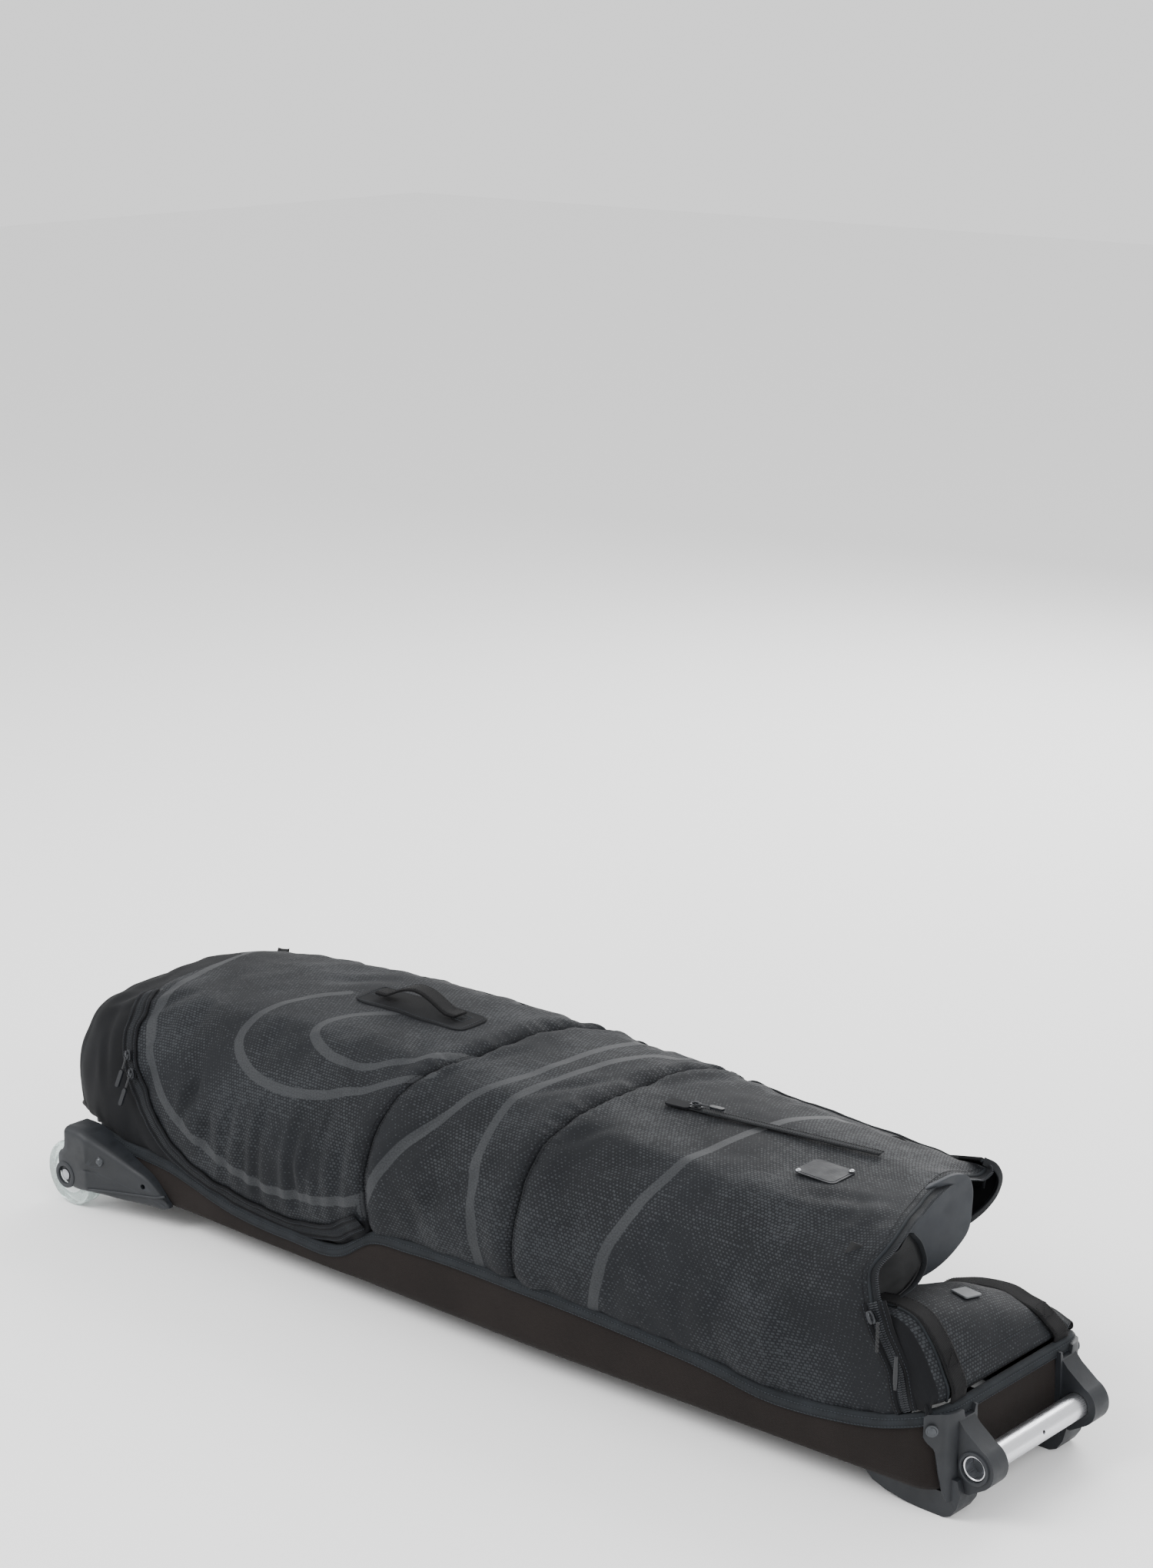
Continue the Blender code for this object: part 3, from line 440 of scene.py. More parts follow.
def clothMaterial(name, colour, pitch=0.0011, roughness=0.8, sheen=0.25, bump=0.25, wear=0.35, twill=0.0,
                  onCloth=True, specular=0.3):
    # a plain woven cloth: threads, slow fading and a fine grainy bump
    material, tree, shader = startMaterial(name, roughness, 0.0, sheen, specular)
    shader.inputs["Sheen Roughness"].default_value = 0.45
    place = clothPlace(tree) if onCloth else objectPlace(tree)
    fade = ease(tree, noiseAt(tree, objectPlace(tree), 9.0, 4.0), 0.3, 0.75)
    pale = tuple(min(1.0, c * (1 + wear)) for c in colour)
    deep = shade(colour, 1 - 0.5 * wear)
    tone = mixColour(tree, fade, deep, pale)
    threads = weaveHeight(tree, place, pitch, twill)
    tone = mixColour(tree, ease(tree, threads, -1.0, 1.0, 0.0, 0.35), tone, shade(colour, 0.55))
    tree.links.new(tone, shader.inputs["Base Color"])
    first = bumpFrom(tree, shader, noiseAt(tree, objectPlace(tree), 260.0, 3.0), 0.12, 0.0006)
    bumpFrom(tree, shader, threads, bump, 0.0004, first)
    return material


printSettings = {
    "base": (0.0072, 0.0082, 0.0102), "dot": (0.036, 0.040, 0.045), "band": (0.029, 0.031, 0.034),
    "pitch": (0.0046, 0.0036), "bandHalf": 0.0062, "weave": 0.0010, "patch": 7.5,
}


def printMaterial():
    # charcoal cloth with rows of small printed dots that swell and fade, and lighter flowing bands
    s = printSettings
    material, tree, shader = startMaterial("printCloth", 0.70, 0.0, 0.015, 0.16)
    shader.inputs["Sheen Roughness"].default_value = 0.4
    place = clothPlace(tree)
    parts = addNode(tree, "ShaderNodeSeparateXYZ", {0: place})
    column = calc(tree, "DIVIDE", parts.outputs[0], s["pitch"][0])
    row = calc(tree, "DIVIDE", parts.outputs[1], s["pitch"][1])
    odd = calc(tree, "MULTIPLY", calc(tree, "MODULO", calc(tree, "FLOOR", row), 2.0), 0.5)
    column = calc(tree, "ADD", column, odd)
    across = calc(tree, "ABSOLUTE", calc(tree, "SUBTRACT", calc(tree, "FRACT", column), 0.5))
    down = calc(tree, "ABSOLUTE", calc(tree, "SUBTRACT", calc(tree, "FRACT", row), 0.5))
    corner = calc(tree, "MAXIMUM", across, calc(tree, "MULTIPLY", down, 1.1))
    cell = addNode(tree, "ShaderNodeCombineXYZ", {0: calc(tree, "FLOOR", column), 1: calc(tree, "FLOOR", row)})
    patch = noiseAt(tree, place, s["patch"], 3.0, 0.6)
    speckle = noiseAt(tree, cell.outputs[0], 0.83, 0.0)
    size = calc(tree, "ADD", ease(tree, patch, 0.34, 0.62, 0.08, 0.36),
                ease(tree, speckle, 0.3, 0.7, -0.12, 0.10))
    dot = ease(tree, calc(tree, "SUBTRACT", size, corner), -0.03, 0.05)
    distance = addNode(tree, "ShaderNodeAttribute", attribute_name="bandDistance").outputs["Fac"]
    band = ease(tree, distance, s["bandHalf"] + 0.0004, s["bandHalf"] - 0.0006)
    worn = ease(tree, noiseAt(tree, place, 600.0, 2.0), 0.30, 0.62, 0.35, 1.0)
    threads = weaveHeight(tree, place, s["weave"])
    fade = ease(tree, noiseAt(tree, objectPlace(tree), 6.0, 4.0), 0.3, 0.75)
    tone = mixColour(tree, fade, shade(s["base"], 0.80), shade(s["base"], 1.25))
    tone = mixColour(tree, ease(tree, threads, -1.0, 1.0, 0.0, 0.30), tone, shade(s["base"], 0.5))
    tone = mixColour(tree, calc(tree, "MULTIPLY", dot, calc(tree, "MULTIPLY", worn, 0.62)), tone, s["dot"])
    tone = mixColour(tree, calc(tree, "MULTIPLY", band, calc(tree, "MULTIPLY", worn, 0.88)), tone, s["band"])
    tree.links.new(tone, shader.inputs["Base Color"])
    gloss = calc(tree, "MAXIMUM", calc(tree, "MULTIPLY", dot, 0.7), band)
    tree.links.new(ease(tree, gloss, 0.0, 1.0, 0.72, 0.50), shader.inputs["Roughness"])
    first = bumpFrom(tree, shader, noiseAt(tree, place, 210.0, 4.0), 0.14, 0.0008)
    bumpFrom(tree, shader, threads, 0.22, 0.0004, first)
    return material


def ribMaterial(name, colour, pitch, roughness=0.6, bump=0.5, across=1, sheen=0.1):
    # cloth or moulding with fine ribs along one way of its own map; painted shade darkens the grooves between the
    # ribs
    material, tree, shader = startMaterial(name, roughness, 0.0, sheen, 0.18)
    place = clothPlace(tree)
    parts = addNode(tree, "ShaderNodeSeparateXYZ", {0: place})
    wave = calc(tree, "SINE", calc(tree, "MULTIPLY", parts.outputs[across], 2 * math.pi / pitch))
    other = calc(tree, "SINE", calc(tree, "MULTIPLY", parts.outputs[1 - across], 2 * math.pi / pitch * 0.8))
    height = calc(tree, "ADD", wave, calc(tree, "MULTIPLY", other, 0.45))
    fade = ease(tree, noiseAt(tree, objectPlace(tree), 40.0, 3.0), 0.3, 0.7)
    tone = mixColour(tree, fade, shade(colour, 0.8), shade(colour, 1.3))
    # painted shade: the colour darkens towards the bottoms of the ribs, in the grooves between them
    tone = mixColour(tree, ease(tree, height, -1.4, 1.4, 0.45, 0.0), tone, shade(colour, 0.4))
    tree.links.new(tone, shader.inputs["Base Color"])
    bumpFrom(tree, shader, height, bump, 0.0005)
    return material


def mouldedMaterial(name, colour, roughness=0.5, grain=900.0, bump=0.18, edge=1.6, specular=0.45):
    # injection-moulded plastic: fine grain, paler where the corners are rubbed
    material, tree, shader = startMaterial(name, roughness, 0.0, 0.0, specular)
    place = objectPlace(tree)
    rub = addNode(tree, "ShaderNodeNewGeometry").outputs["Pointiness"]
    worn = ease(tree, rub, 0.50, 0.60)
    cloud = ease(tree, noiseAt(tree, place, 22.0, 4.0), 0.3, 0.7)
    tone = mixColour(tree, cloud, shade(colour, 0.85), shade(colour, 1.15))
    tone = mixColour(tree, calc(tree, "MULTIPLY", worn, 0.6), tone, shade(colour, edge))
    tree.links.new(tone, shader.inputs["Base Color"])
    fine = noiseAt(tree, place, grain, 2.0)
    tree.links.new(ease(tree, noiseAt(tree, place, 60.0, 5.0), 0.3, 0.7, roughness - 0.07, roughness + 0.09),
                   shader.inputs["Roughness"])
    bumpFrom(tree, shader, fine, bump, 0.0005)
    return material


def metalMaterial(name, colour, roughness, streak=0.0, axis=1, metallic=1.0):
    # drawn or turned metal with fine streaks and a few scuffs
    material, tree, shader = startMaterial(name, roughness, metallic)
    place = objectPlace(tree)
    stretch = [1.0, 1.0, 1.0]
    stretch[axis] = 0.03
    drawn = addNode(tree, "ShaderNodeMapping", {"Vector": place, "Scale": tuple(stretch)}).outputs[0]
    lines = noiseAt(tree, drawn, 1800.0, 3.0)
    scuff = ease(tree, noiseAt(tree, place, 180.0, 6.0, 0.7), 0.55, 0.75)
    tone = mixColour(tree, ease(tree, lines, 0.3, 0.7, 0.0, 0.5), colour, shade(colour, 0.72))
    tone = mixColour(tree, calc(tree, "MULTIPLY", scuff, 0.25), tone, shade(colour, 0.55))
    tree.links.new(tone, shader.inputs["Base Color"])
    tree.links.new(ease(tree, lines, 0.3, 0.7, roughness - 0.06, roughness + 0.10), shader.inputs["Roughness"])
    bumpFrom(tree, shader, lines, streak, 0.0003)
    return material


def urethaneMaterial():
    # clear cast wheel with a faint cloudy tone, uneven gloss and a fine bump
    material, tree, shader = startMaterial("urethane", 0.12, 0.0, 0.0, 0.5)
    shader.inputs["Transmission Weight"].default_value = 0.72
    shader.inputs["IOR"].default_value = 1.48
    place = objectPlace(tree)
    cloud = ease(tree, noiseAt(tree, place, 45.0, 4.0), 0.3, 0.7)
    tone = mixColour(tree, cloud, (0.62, 0.74, 0.72), (0.84, 0.90, 0.88))
    tree.links.new(tone, shader.inputs["Base Color"])
    rough = ease(tree, noiseAt(tree, place, 300.0, 4.0), 0.35, 0.7, 0.08, 0.30)
    tree.links.new(rough, shader.inputs["Roughness"])
    bumpFrom(tree, shader, noiseAt(tree, place, 120.0, 3.0), 0.10, 0.0006)
    return material


def makeMaterials():
    made = {
        "print": printMaterial(),
        "plain": clothMaterial("plainCloth", (0.0050, 0.0054, 0.0066), 0.0012, 0.80, 0.015, 0.30, 0.45,
                               specular=0.13),
        "tub": clothMaterial("tubCloth", (0.0125, 0.0100, 0.0092), 0.0017, 0.90, 0.02, 0.45, 0.30,
                             specular=0.12),
        "lining": clothMaterial("liningCloth", (0.0036, 0.0040, 0.0048), 0.0014, 0.50, 0.01, 0.35, 0.5,
                                specular=0.28),
        "binding": ribMaterial("bindingTape", (0.0125, 0.0150, 0.0180), 0.0011, 0.76, 0.45, sheen=0.01),
        "zipTape": ribMaterial("zipTape", (0.0080, 0.0092, 0.0110), 0.0013, 0.74, 0.40, sheen=0.01),
        "coil": mouldedMaterial("zipCoil", (0.020, 0.022, 0.026), 0.40, 500.0, 0.10, 1.3, specular=0.35),
        "webbing": clothMaterial("webbing", (0.0046, 0.0046, 0.0054), 0.0016, 0.74, 0.01, 0.8, 0.5, 1.0,
                                 specular=0.16),
        "thread": mouldedMaterial("thread", (0.016, 0.019, 0.023), 0.6, 700.0, 0.3, specular=0.2),
        "darkThread": mouldedMaterial("darkThread", (0.005, 0.005, 0.006), 0.65, 700.0, 0.3, specular=0.15),
        "moulded": mouldedMaterial("mouldedPlastic", (0.0120, 0.0135, 0.0160), 0.52, specular=0.32),
        "board": mouldedMaterial("boardPlastic", (0.028, 0.031, 0.036), 0.48, 320.0, 0.10),
        "foam": mouldedMaterial("foamSheet", (0.024, 0.027, 0.032), 0.60, 1500.0, 0.08, 1.2, specular=0.3),
        "rubber": mouldedMaterial("plateRubber", (0.0100, 0.0110, 0.0132), 0.55, 420.0, 0.30, 1.4,
                                  specular=0.22),
        "tagRubber": mouldedMaterial("tagRubber", (0.070, 0.075, 0.080), 0.52, 500.0, 0.22, 1.3),
        "aluminium": metalMaterial("anodisedTube", (0.74, 0.75, 0.78), 0.30, 0.05, 1),
        "steel": metalMaterial("boltSteel", (0.38, 0.39, 0.41), 0.34, 0.05, 1),
        "blackRivet": metalMaterial("blackRivet", (0.060, 0.064, 0.070), 0.40, 0.04, 1, 0.7),
        "slider": metalMaterial("blackSlider", (0.030, 0.032, 0.036), 0.33, 0.05, 1, 0.55),
        "gloss": mouldedMaterial("glossGrip", (0.009, 0.010, 0.012), 0.26, 300.0, 0.04, 1.3, 0.35),
        "cord": clothMaterial("pullCord", (0.030, 0.031, 0.034), 0.0012, 0.7, 0.1, 0.9, 0.9, 1.0),
        "urethane": urethaneMaterial(),
        "hub": mouldedMaterial("hubPlastic", (0.62, 0.66, 0.66), 0.30, 300.0, 0.05, 1.1),
    }
    print("materials made")
    return made


makeView()
mats = makeMaterials()

# height of the tub's rim along its length
rimRows = [(-0.632, 0.108), (-0.572, 0.096), (-0.482, 0.089), (-0.372, 0.066), (-0.272, 0.061), (-0.182, 0.067),
           (-0.135, 0.096), (-0.072, 0.103), (0.092, 0.106), (0.238, 0.101), (0.368, 0.092), (0.434, 0.083),
           (0.514, 0.087), (0.578, 0.098), (0.649, 0.123)]

# the near side panel: one smooth surface, x along and s round the profile (0 at the rim, 10 at the far edge)
lid = {
    "sections": [
        (-0.692, -0.096, 0.0, 0.120, 0.216), (-0.684, -0.114, 0.003, 0.138, 0.240),
        (-0.660, -0.133, 0.005, 0.156, 0.260), (-0.620, -0.146, 0.007, 0.170, 0.270),
        (-0.520, -0.150, 0.009, 0.181, 0.280), (-0.380, -0.150, 0.012, 0.187, 0.290),
        (-0.240, -0.150, 0.012, 0.188, 0.295), (-0.135, -0.150, 0.010, 0.186, 0.292),
        (-0.020, -0.150, 0.011, 0.187, 0.288), (0.092, -0.150, 0.010, 0.186, 0.284),
        (0.220, -0.147, 0.010, 0.184, 0.279), (0.360, -0.142, 0.008, 0.178, 0.275),
        (0.470, -0.138, 0.004, 0.168, 0.274), (0.545, -0.134, 0.0, 0.150, 0.284),
        (0.640, -0.130, 0.0, 0.140, 0.286),
    ],
    "profile": [
        (0, 0, 0), (0, 0.24, 1), (0, 0.50, 0.1), (0.056, 0.74, 0), (0.135, 0.88, 0), (0.26, 0.95, 0),
        (0.435, 0.98, 0), (0.64, 0.995, 0), (0.815, 1.0, 0), (0.94, 0.975, 0), (1.0, 0.86, 0),
    ],
    "rim": [(-0.692, 0.112)] + rimRows,
    "ridge": [(-0.692, 0.215), (-0.62, 0.2586), (-0.52, 0.274), (-0.38, 0.285), (-0.24, 0.291), (-0.135, 0.289),
              (-0.02, 0.282), (0.092, 0.280), (0.22, 0.272), (0.36, 0.267), (0.47, 0.261), (0.64, 0.262)],
    "handleSeam": [(0, -0.135), (2, -0.133), (4, -0.116), (6, -0.098), (8, -0.078), (9, -0.047), (10, -0.036)],
    "middleSeam": [(0, 0.092), (4, 0.100), (6, 0.102), (8, 0.112), (9, 0.135), (10, 0.146)],
    "mouth": [(0, 0.613), (1, 0.597), (2, 0.570), (2.3, 0.562), (3, 0.549), (4, 0.555), (5, 0.548), (6, 0.531),
              (7, 0.513), (8, 0.508), (9, 0.505), (10, 0.500)],
    "pocketZip": [(-0.600, 4.85), (-0.574, 3.50), (-0.566, 2.80), (-0.550, 2.15), (-0.526, 1.45), (-0.498, 0.85),
                  (-0.454, 0.45), (-0.390, 0.27), (-0.306, 0.18), (-0.242, 0.18), (-0.198, 0.30), (-0.144, 0.55)],
    "base": 0.106, "rowsRound": 112, "step": 0.0046, "thick": 0.006,
    "grooveDeep": 0.0036, "grooveWide": 0.0052, "rearEnd": -0.692,
}


def lidPoint(x, s):
    # the outer skin before any puffing
    x, s = np.asarray(x, float), np.asarray(s, float)
    table = np.array(lid["sections"])
    near, belly, far, top = [hermite(table[:, 0], table[:, k], x) for k in (1, 2, 3, 4)]
    shape = np.array(lid["profile"])
    wide, tall, out = [hermite(np.arange(len(shape)), shape[:, k], s) for k in (0, 1, 2)]
    rim = np.interp(x, *np.array(lid["rim"]).T)
    y = near - out * belly + wide * (far - near)
    z = lid["base"] + tall * (top - lid["base"])
    low = np.clip(1 - s / 1.0, 0, 1)
    z = z * (1 - low) + low * (rim - 0.003)
    ridge = np.interp(x, *np.array(lid["ridge"]).T)
    lean = np.clip((s - 7.2) / 1.6, 0, 1)
    z = z - np.clip(z - ridge, 0, None) * lean
    return np.stack([x, y, z], axis=-1)


def table(name, s):
    rows = np.array(lid[name], float)
    return hermite(rows[:, 0], rows[:, 1], s)


# lines of printed bands across the lid as (x, s); generic flow lines and ripples
bandLines = {
    "outer": [(-0.600, 8.3), (-0.588, 6.25), (-0.566, 4.6), (-0.540, 3.1), (-0.506, 2.05), (-0.466, 1.25),
              (-0.410, 0.86), (-0.320, 0.66), (-0.234, 0.70), (-0.150, 0.86), (-0.128, 0.95)],
    "inner": [(-0.352, 6.5), (-0.384, 5.9), (-0.400, 4.8), (-0.396, 3.7), (-0.356, 2.85), (-0.290, 2.60),
              (-0.220, 2.85), (-0.150, 3.7), (-0.100, 4.6)],
    "ripple": [(-0.250, 6.3), (-0.296, 5.6), (-0.300, 4.7), (-0.262, 4.1), (-0.205, 4.0), (-0.150, 4.7),
               (-0.096, 5.9)],
    "first": [(-0.140, 0.7), (-0.090, 2.2), (-0.046, 3.55), (-0.018, 5.0), (0.000, 6.6), (0.012, 8.2),
              (0.016, 9.9)],
    "second": [(0.040, 0.25), (0.034, 1.8), (0.024, 2.9), (0.018, 4.4), (0.026, 5.9), (0.050, 7.6), (0.090, 9.0)],
    "third": [(0.206, 0.3), (0.226, 1.65), (0.250, 2.95), (0.270, 4.9), (0.282, 6.5), (0.300, 7.6), (0.335, 9.9)],
}
pleats = {"rows": [(-0.434, 2.35, -0.448, 0.95, 1.0), (-0.396, 1.75, -0.414, 0.7, 0.7),
                   (-0.358, 2.1, -0.376, 0.5, 1.0), (-0.331, 1.5, -0.344, 0.4, 0.6),
                   (-0.306, 2.15, -0.320, 0.4, 0.9), (-0.274, 1.6, -0.284, 0.4, 0.6),
                   (-0.246, 2.45, -0.254, 0.4, 1.0), (-0.224, 1.7, -0.231, 0.4, 0.6),
                   (-0.202, 2.85, -0.210, 0.4, 1.0), (-0.172, 2.0, -0.178, 0.6, 0.8)],
          "deep": 0.0040, "wide": 0.0080}
creases = [  # two ends (x, s), depth and half width of a soft fold
    ((-0.110, 1.5), (-0.030, 3.9), 0.0030, 0.012), ((-0.060, 0.8), (0.060, 2.7), 0.0028, 0.014),
    ((-0.105, 3.5), (-0.060, 6.5), 0.0022, 0.010), ((0.060, 1.0), (-0.010, 2.2), 0.0022, 0.012),
    ((0.125, 0.9), (0.190, 2.6), 0.0028, 0.014), ((0.150, 3.4), (0.260, 4.4), 0.0022, 0.014),
    ((0.300, 2.4), (0.420, 1.1), 0.0030, 0.015), ((0.380, 3.4), (0.520, 2.5), 0.0030, 0.013),
    ((0.450, 1.7), (0.560, 0.7), 0.0024, 0.010), ((0.410, 5.0), (0.510, 5.7), 0.0022, 0.012),
    ((-0.560, 6.5), (-0.480, 5.0), 0.0026, 0.014), ((-0.500, 4.4), (-0.440, 2.8), 0.0024, 0.014),
    ((-0.420, 6.8), (-0.330, 7.6), 0.0022, 0.014), ((-0.340, 4.2), (-0.250, 3.3), 0.0020, 0.016),
    ((-0.190, 6.0), (-0.130, 4.6), 0.0024, 0.011), ((-0.620, 3.6), (-0.590, 1.4), 0.0020, 0.008),
    ((0.020, 5.0), (0.085, 6.8), 0.0022, 0.010), ((0.120, 6.5), (0.170, 8.5), 0.0020, 0.012),
]


def segmentDistance(points, a, b):
    a, b = np.asarray(a), np.asarray(b)
    way = b - a
    share = np.clip(((points - a) @ way) / max(way @ way, 1e-12), 0, 1)
    return np.linalg.norm(points - (a + share[..., None] * way), axis=-1), share


def lineDistance(points, line):
    best = np.full(points.shape[:-1], farAway)
    for a, b in zip(line[:-1], line[1:]):
        best = np.minimum(best, segmentDistance(points, a, b)[0])
    return best


def buildLid():
    # one grid for the whole skin: columns lean with the seams, rows go round the profile
    count = lid["rowsRound"]
    s = np.linspace(0, 10, count)
    seams = [np.full(count, lid["rearEnd"])] + [table(name, s) for name in ("handleSeam", "middleSeam", "mouth")]
    columns, mark = [], []
    for k in range(3):
        wide = float(np.mean(seams[k + 1] - seams[k]))
        cells = int(round(wide / lid["step"]))
        share = np.arange(cells + (k == 2)) / cells
        for t in share:
            columns.append(seams[k] * (1 - t) + seams[k + 1] * t)
            mark.append(k + t)
    x = np.stack(columns, axis=0)
    grid = lidPoint(x, np.broadcast_to(s, x.shape))
    seamColumns = [int(np.argmin(np.abs(np.array(mark) - k))) for k in range(4)]
    print("lid grid", grid.shape, "seams at", seamColumns)
    return x, np.broadcast_to(s, x.shape).copy(), grid, seamColumns


def gridNormals(grid):
    along = np.gradient(grid, axis=0)
    around = np.gradient(grid, axis=1)
    return unit(np.cross(along, around))


def clothMap(grid):
    # metres along and round the cloth, measured on the skin itself
    run = runAlong(grid[:, 50])
    step = np.linalg.norm(np.diff(grid, axis=1), axis=2)
    rise = np.concatenate([np.zeros((len(grid), 1)), np.cumsum(step, axis=1)], axis=1)
    rise = rise - rise[:, 40:41]
    return np.stack([np.broadcast_to(run[:, None], rise.shape), rise], axis=-1)


simSettings = {"columns": 132, "rows": 46, "frames": 22, "pressure": 2.4, "shrink": -0.016, "cap": 0.0065,
               "sink": 0.0048}


def puffLid(x, s, grid, seamColumns):
    # the padded cloth between its seams, swollen and wrinkled by a short simulation
    even = np.linspace(0, len(grid) - 1, simSettings["columns"]).round().astype(int)
    pick = sorted(set(even) | set(seamColumns))
    rows = np.unique(np.linspace(0, grid.shape[1] - 1, simSettings["rows"]).round().astype(int))
    coarse = grid[np.ix_(pick, rows)]
    spread = softNoise(coarse, 31.0)
    start = coarse + gridNormals(coarse) * (spread * 0.0016)[..., None]
    piece = makeMesh("clothRun", start.reshape(-1, 3), gridFaces(*coarse.shape[:2]))
    held = piece.vertex_groups.new(name="held")
    seamRows = {pick.index(k) for k in seamColumns}
    zipLine = np.array(lid["pocketZip"])
    for i, k in enumerate(pick):
        for j, r in enumerate(rows):
            here = x[k, r]
            onZip = here < -0.15 and abs(np.interp(here, zipLine[:, 0], zipLine[:, 1]) - s[k, r]) < 0.12
            edge = i in seamRows or j in (0, len(rows) - 1)
            if edge or onZip:
                held.add([i * len(rows) + j], 1.0, "REPLACE")
    cloth = piece.modifiers.new("cloth", "CLOTH")
    run = cloth.settings
    run.vertex_group_mass = "held"
    run.quality = 6
    run.mass = 0.35
    run.tension_stiffness = 18
    run.compression_stiffness = 18
    run.shear_stiffness = 6
    run.bending_stiffness = 0.35
    run.use_pressure = True
    run.uniform_pressure_force = simSettings["pressure"]
    run.shrink_min = simSettings["shrink"]
    run.shrink_max = simSettings["shrink"]
    run.effector_weights.gravity = 0.0
    cloth.collision_settings.use_collision = False
    cloth.point_cache.frame_start = 1
    cloth.point_cache.frame_end = simSettings["frames"]
    for step in range(1, simSettings["frames"] + 1):
        bpy.context.scene.frame_set(step)
    view = bpy.context.evaluated_depsgraph_get()
    shown = piece.evaluated_get(view)
    flat = np.empty(len(shown.data.vertices) * 3, dtype=np.float32)
    shown.data.vertices.foreach_get("co", flat)
    moved = flat.reshape(coarse.shape).astype(float) - coarse
    bpy.data.objects.remove(piece)
    bpy.context.scene.frame_set(1)
    long = np.linalg.norm(moved, axis=-1, keepdims=True)
    moved *= np.minimum(1.0, simSettings["cap"] / np.maximum(long, 1e-9))
    print("cloth moved, mm:", round(float(long.mean()) * 1000, 2), "mean,", round(float(long.max()) * 1000, 2))
    across = np.stack([[np.interp(np.arange(len(grid)), pick, moved[:, j, c]) for c in range(3)]
                       for j in range(len(rows))], axis=0)
    fine = np.empty_like(grid)
    for c in range(3):
        for k in range(len(grid)):
            fine[k, :, c] = np.interp(np.arange(grid.shape[1]), rows, across[:, c, k])
    settle = simSettings["sink"] * np.clip((s - 3.0) / 3.0, 0, 1) * np.clip((10.0 - s) / 0.5, 0, 1)
    return smoothField(fine, 2) - gridNormals(grid) * settle[..., None]


def smoothField(field, times):
    for _ in range(times):
        wide = np.concatenate([field[:1], field, field[-1:]], axis=0)
        wide = (wide[:-2] + wide[1:-1] * 2 + wide[2:]) / 4
        tall = np.concatenate([wide[:, :1], wide, wide[:, -1:]], axis=1)
        field = (tall[:, :-2] + tall[:, 1:-1] * 2 + tall[:, 2:]) / 4
    return field


def seamShape(distance, deep, wide):
    return -deep * np.exp(-(distance / wide) ** 2)


def detailLid(x, s, grid, uv, seamColumns):
    # seams drawn in, puckers beside them, pleats and soft folds, as heights along the skin's normal
    height = np.zeros(grid.shape[:2])
    zipLine = smoothLine(mapLine(lid["pocketZip"], x, s, uv), 60)
    toZip = lineDistance(uv, zipLine)
    ways = [(toZip, 0.0010, 0.0080, 0.25)]
    for k in (1, 2):
        toSeam = np.abs(uv[..., 0] - uv[seamColumns[k], :, 0][None, :])
        ways.append((toSeam, lid["grooveDeep"], lid["grooveWide"], 1.0))
    for distance, deep, wide, strong in ways:
        height += seamShape(distance, deep, wide)
        near = np.exp(-((distance - 0.010) / 0.010) ** 2)
        wave = np.sin(uv[..., 1] * 2 * math.pi / 0.017 + 2.2 * np.sin(uv[..., 1] * 61.0 + uv[..., 0] * 23.0))
        height += near * wave * 0.0008 * strong
        height += 0.0030 * strong * np.exp(-((distance - 0.020) / 0.014) ** 2)
    edge = np.minimum(s / 0.55, 1.0)
    height -= 0.0035 * (1 - edge) ** 2
    for x1, s1, x2, s2, share in pleats["rows"]:
        ends = mapLine([(x1, s1), (x2, s2)], x, s, uv)
        distance, run = segmentDistance(uv, ends[0], ends[1])
        strong = pleats["deep"] * share * np.clip(np.sin(math.pi * (0.12 + 0.88 * run)), 0, 1) ** 0.7
        height -= strong * np.exp(-(distance / pleats["wide"]) ** 2)
        height += 0.45 * strong * np.exp(-((distance - 1.7 * pleats["wide"]) / pleats["wide"]) ** 2)
    for first, last, deep, wide in creases:
        ends = mapLine([first, last], x, s, uv)
        distance, run = segmentDistance(uv, ends[0], ends[1])
        strong = deep * np.clip(np.sin(math.pi * (0.08 + 0.84 * run)), 0, 1)
        height -= strong * np.exp(-(distance / wide) ** 2)
        height += 0.5 * strong * np.exp(-((distance - 1.6 * wide) / wide) ** 2)
    height += 0.0022 * (softNoise(grid, 15.0) + 0.4 * softNoise(grid, 38.0)) * edge
    return height


def pressUnder(grid, s, box, margin):
    # keeps the skin just below a piece that lies on it
    low, high = box
    away = np.maximum(np.maximum(low[:2] - grid[..., :2], grid[..., :2] - high[:2]), 0)
    share = np.clip(1 - np.linalg.norm(away, axis=-1) / margin, 0, 1)
    share = share * share * (3 - 2 * share) * (s > 4)
    over = np.maximum(grid[..., 2] - (low[2] + 0.0006), 0)
    grid[..., 2] -= over * share


def pressAlong(grid, s, start, end, margin):
    start, end = np.array(start), np.array(end)
    way = end[:2] - start[:2]
    run = np.clip(((grid[..., :2] - start[:2]) @ way) / (way @ way), -0.12, 1.03)
    away = np.linalg.norm(grid[..., :2] - (start[:2] + run[..., None] * way), axis=-1)
    share = np.clip(1 - np.maximum(away - 0.007, 0) / margin, 0, 1)
    share = share * share * (3 - 2 * share) * (s > 4)
    over = np.maximum(grid[..., 2] - (start[2] + run * (end[2] - start[2]) - 0.0022), 0)
    grid[..., 2] -= over * share


def mapLine(rows, x, s, uv):
    # (x, s) places to metres on the cloth
    out = []
    for px, ps in rows:
        j = ps / 10 * (x.shape[1] - 1)
        low = int(min(math.floor(j), x.shape[1] - 2))
        t = j - low
        line = x[:, low] * (1 - t) + x[:, low + 1] * t
        cloth = uv[:, low] * (1 - t) + uv[:, low + 1] * t
        out.append([np.interp(px, line, cloth[:, 0]), np.interp(px, line, cloth[:, 1])])
    return np.array(out)


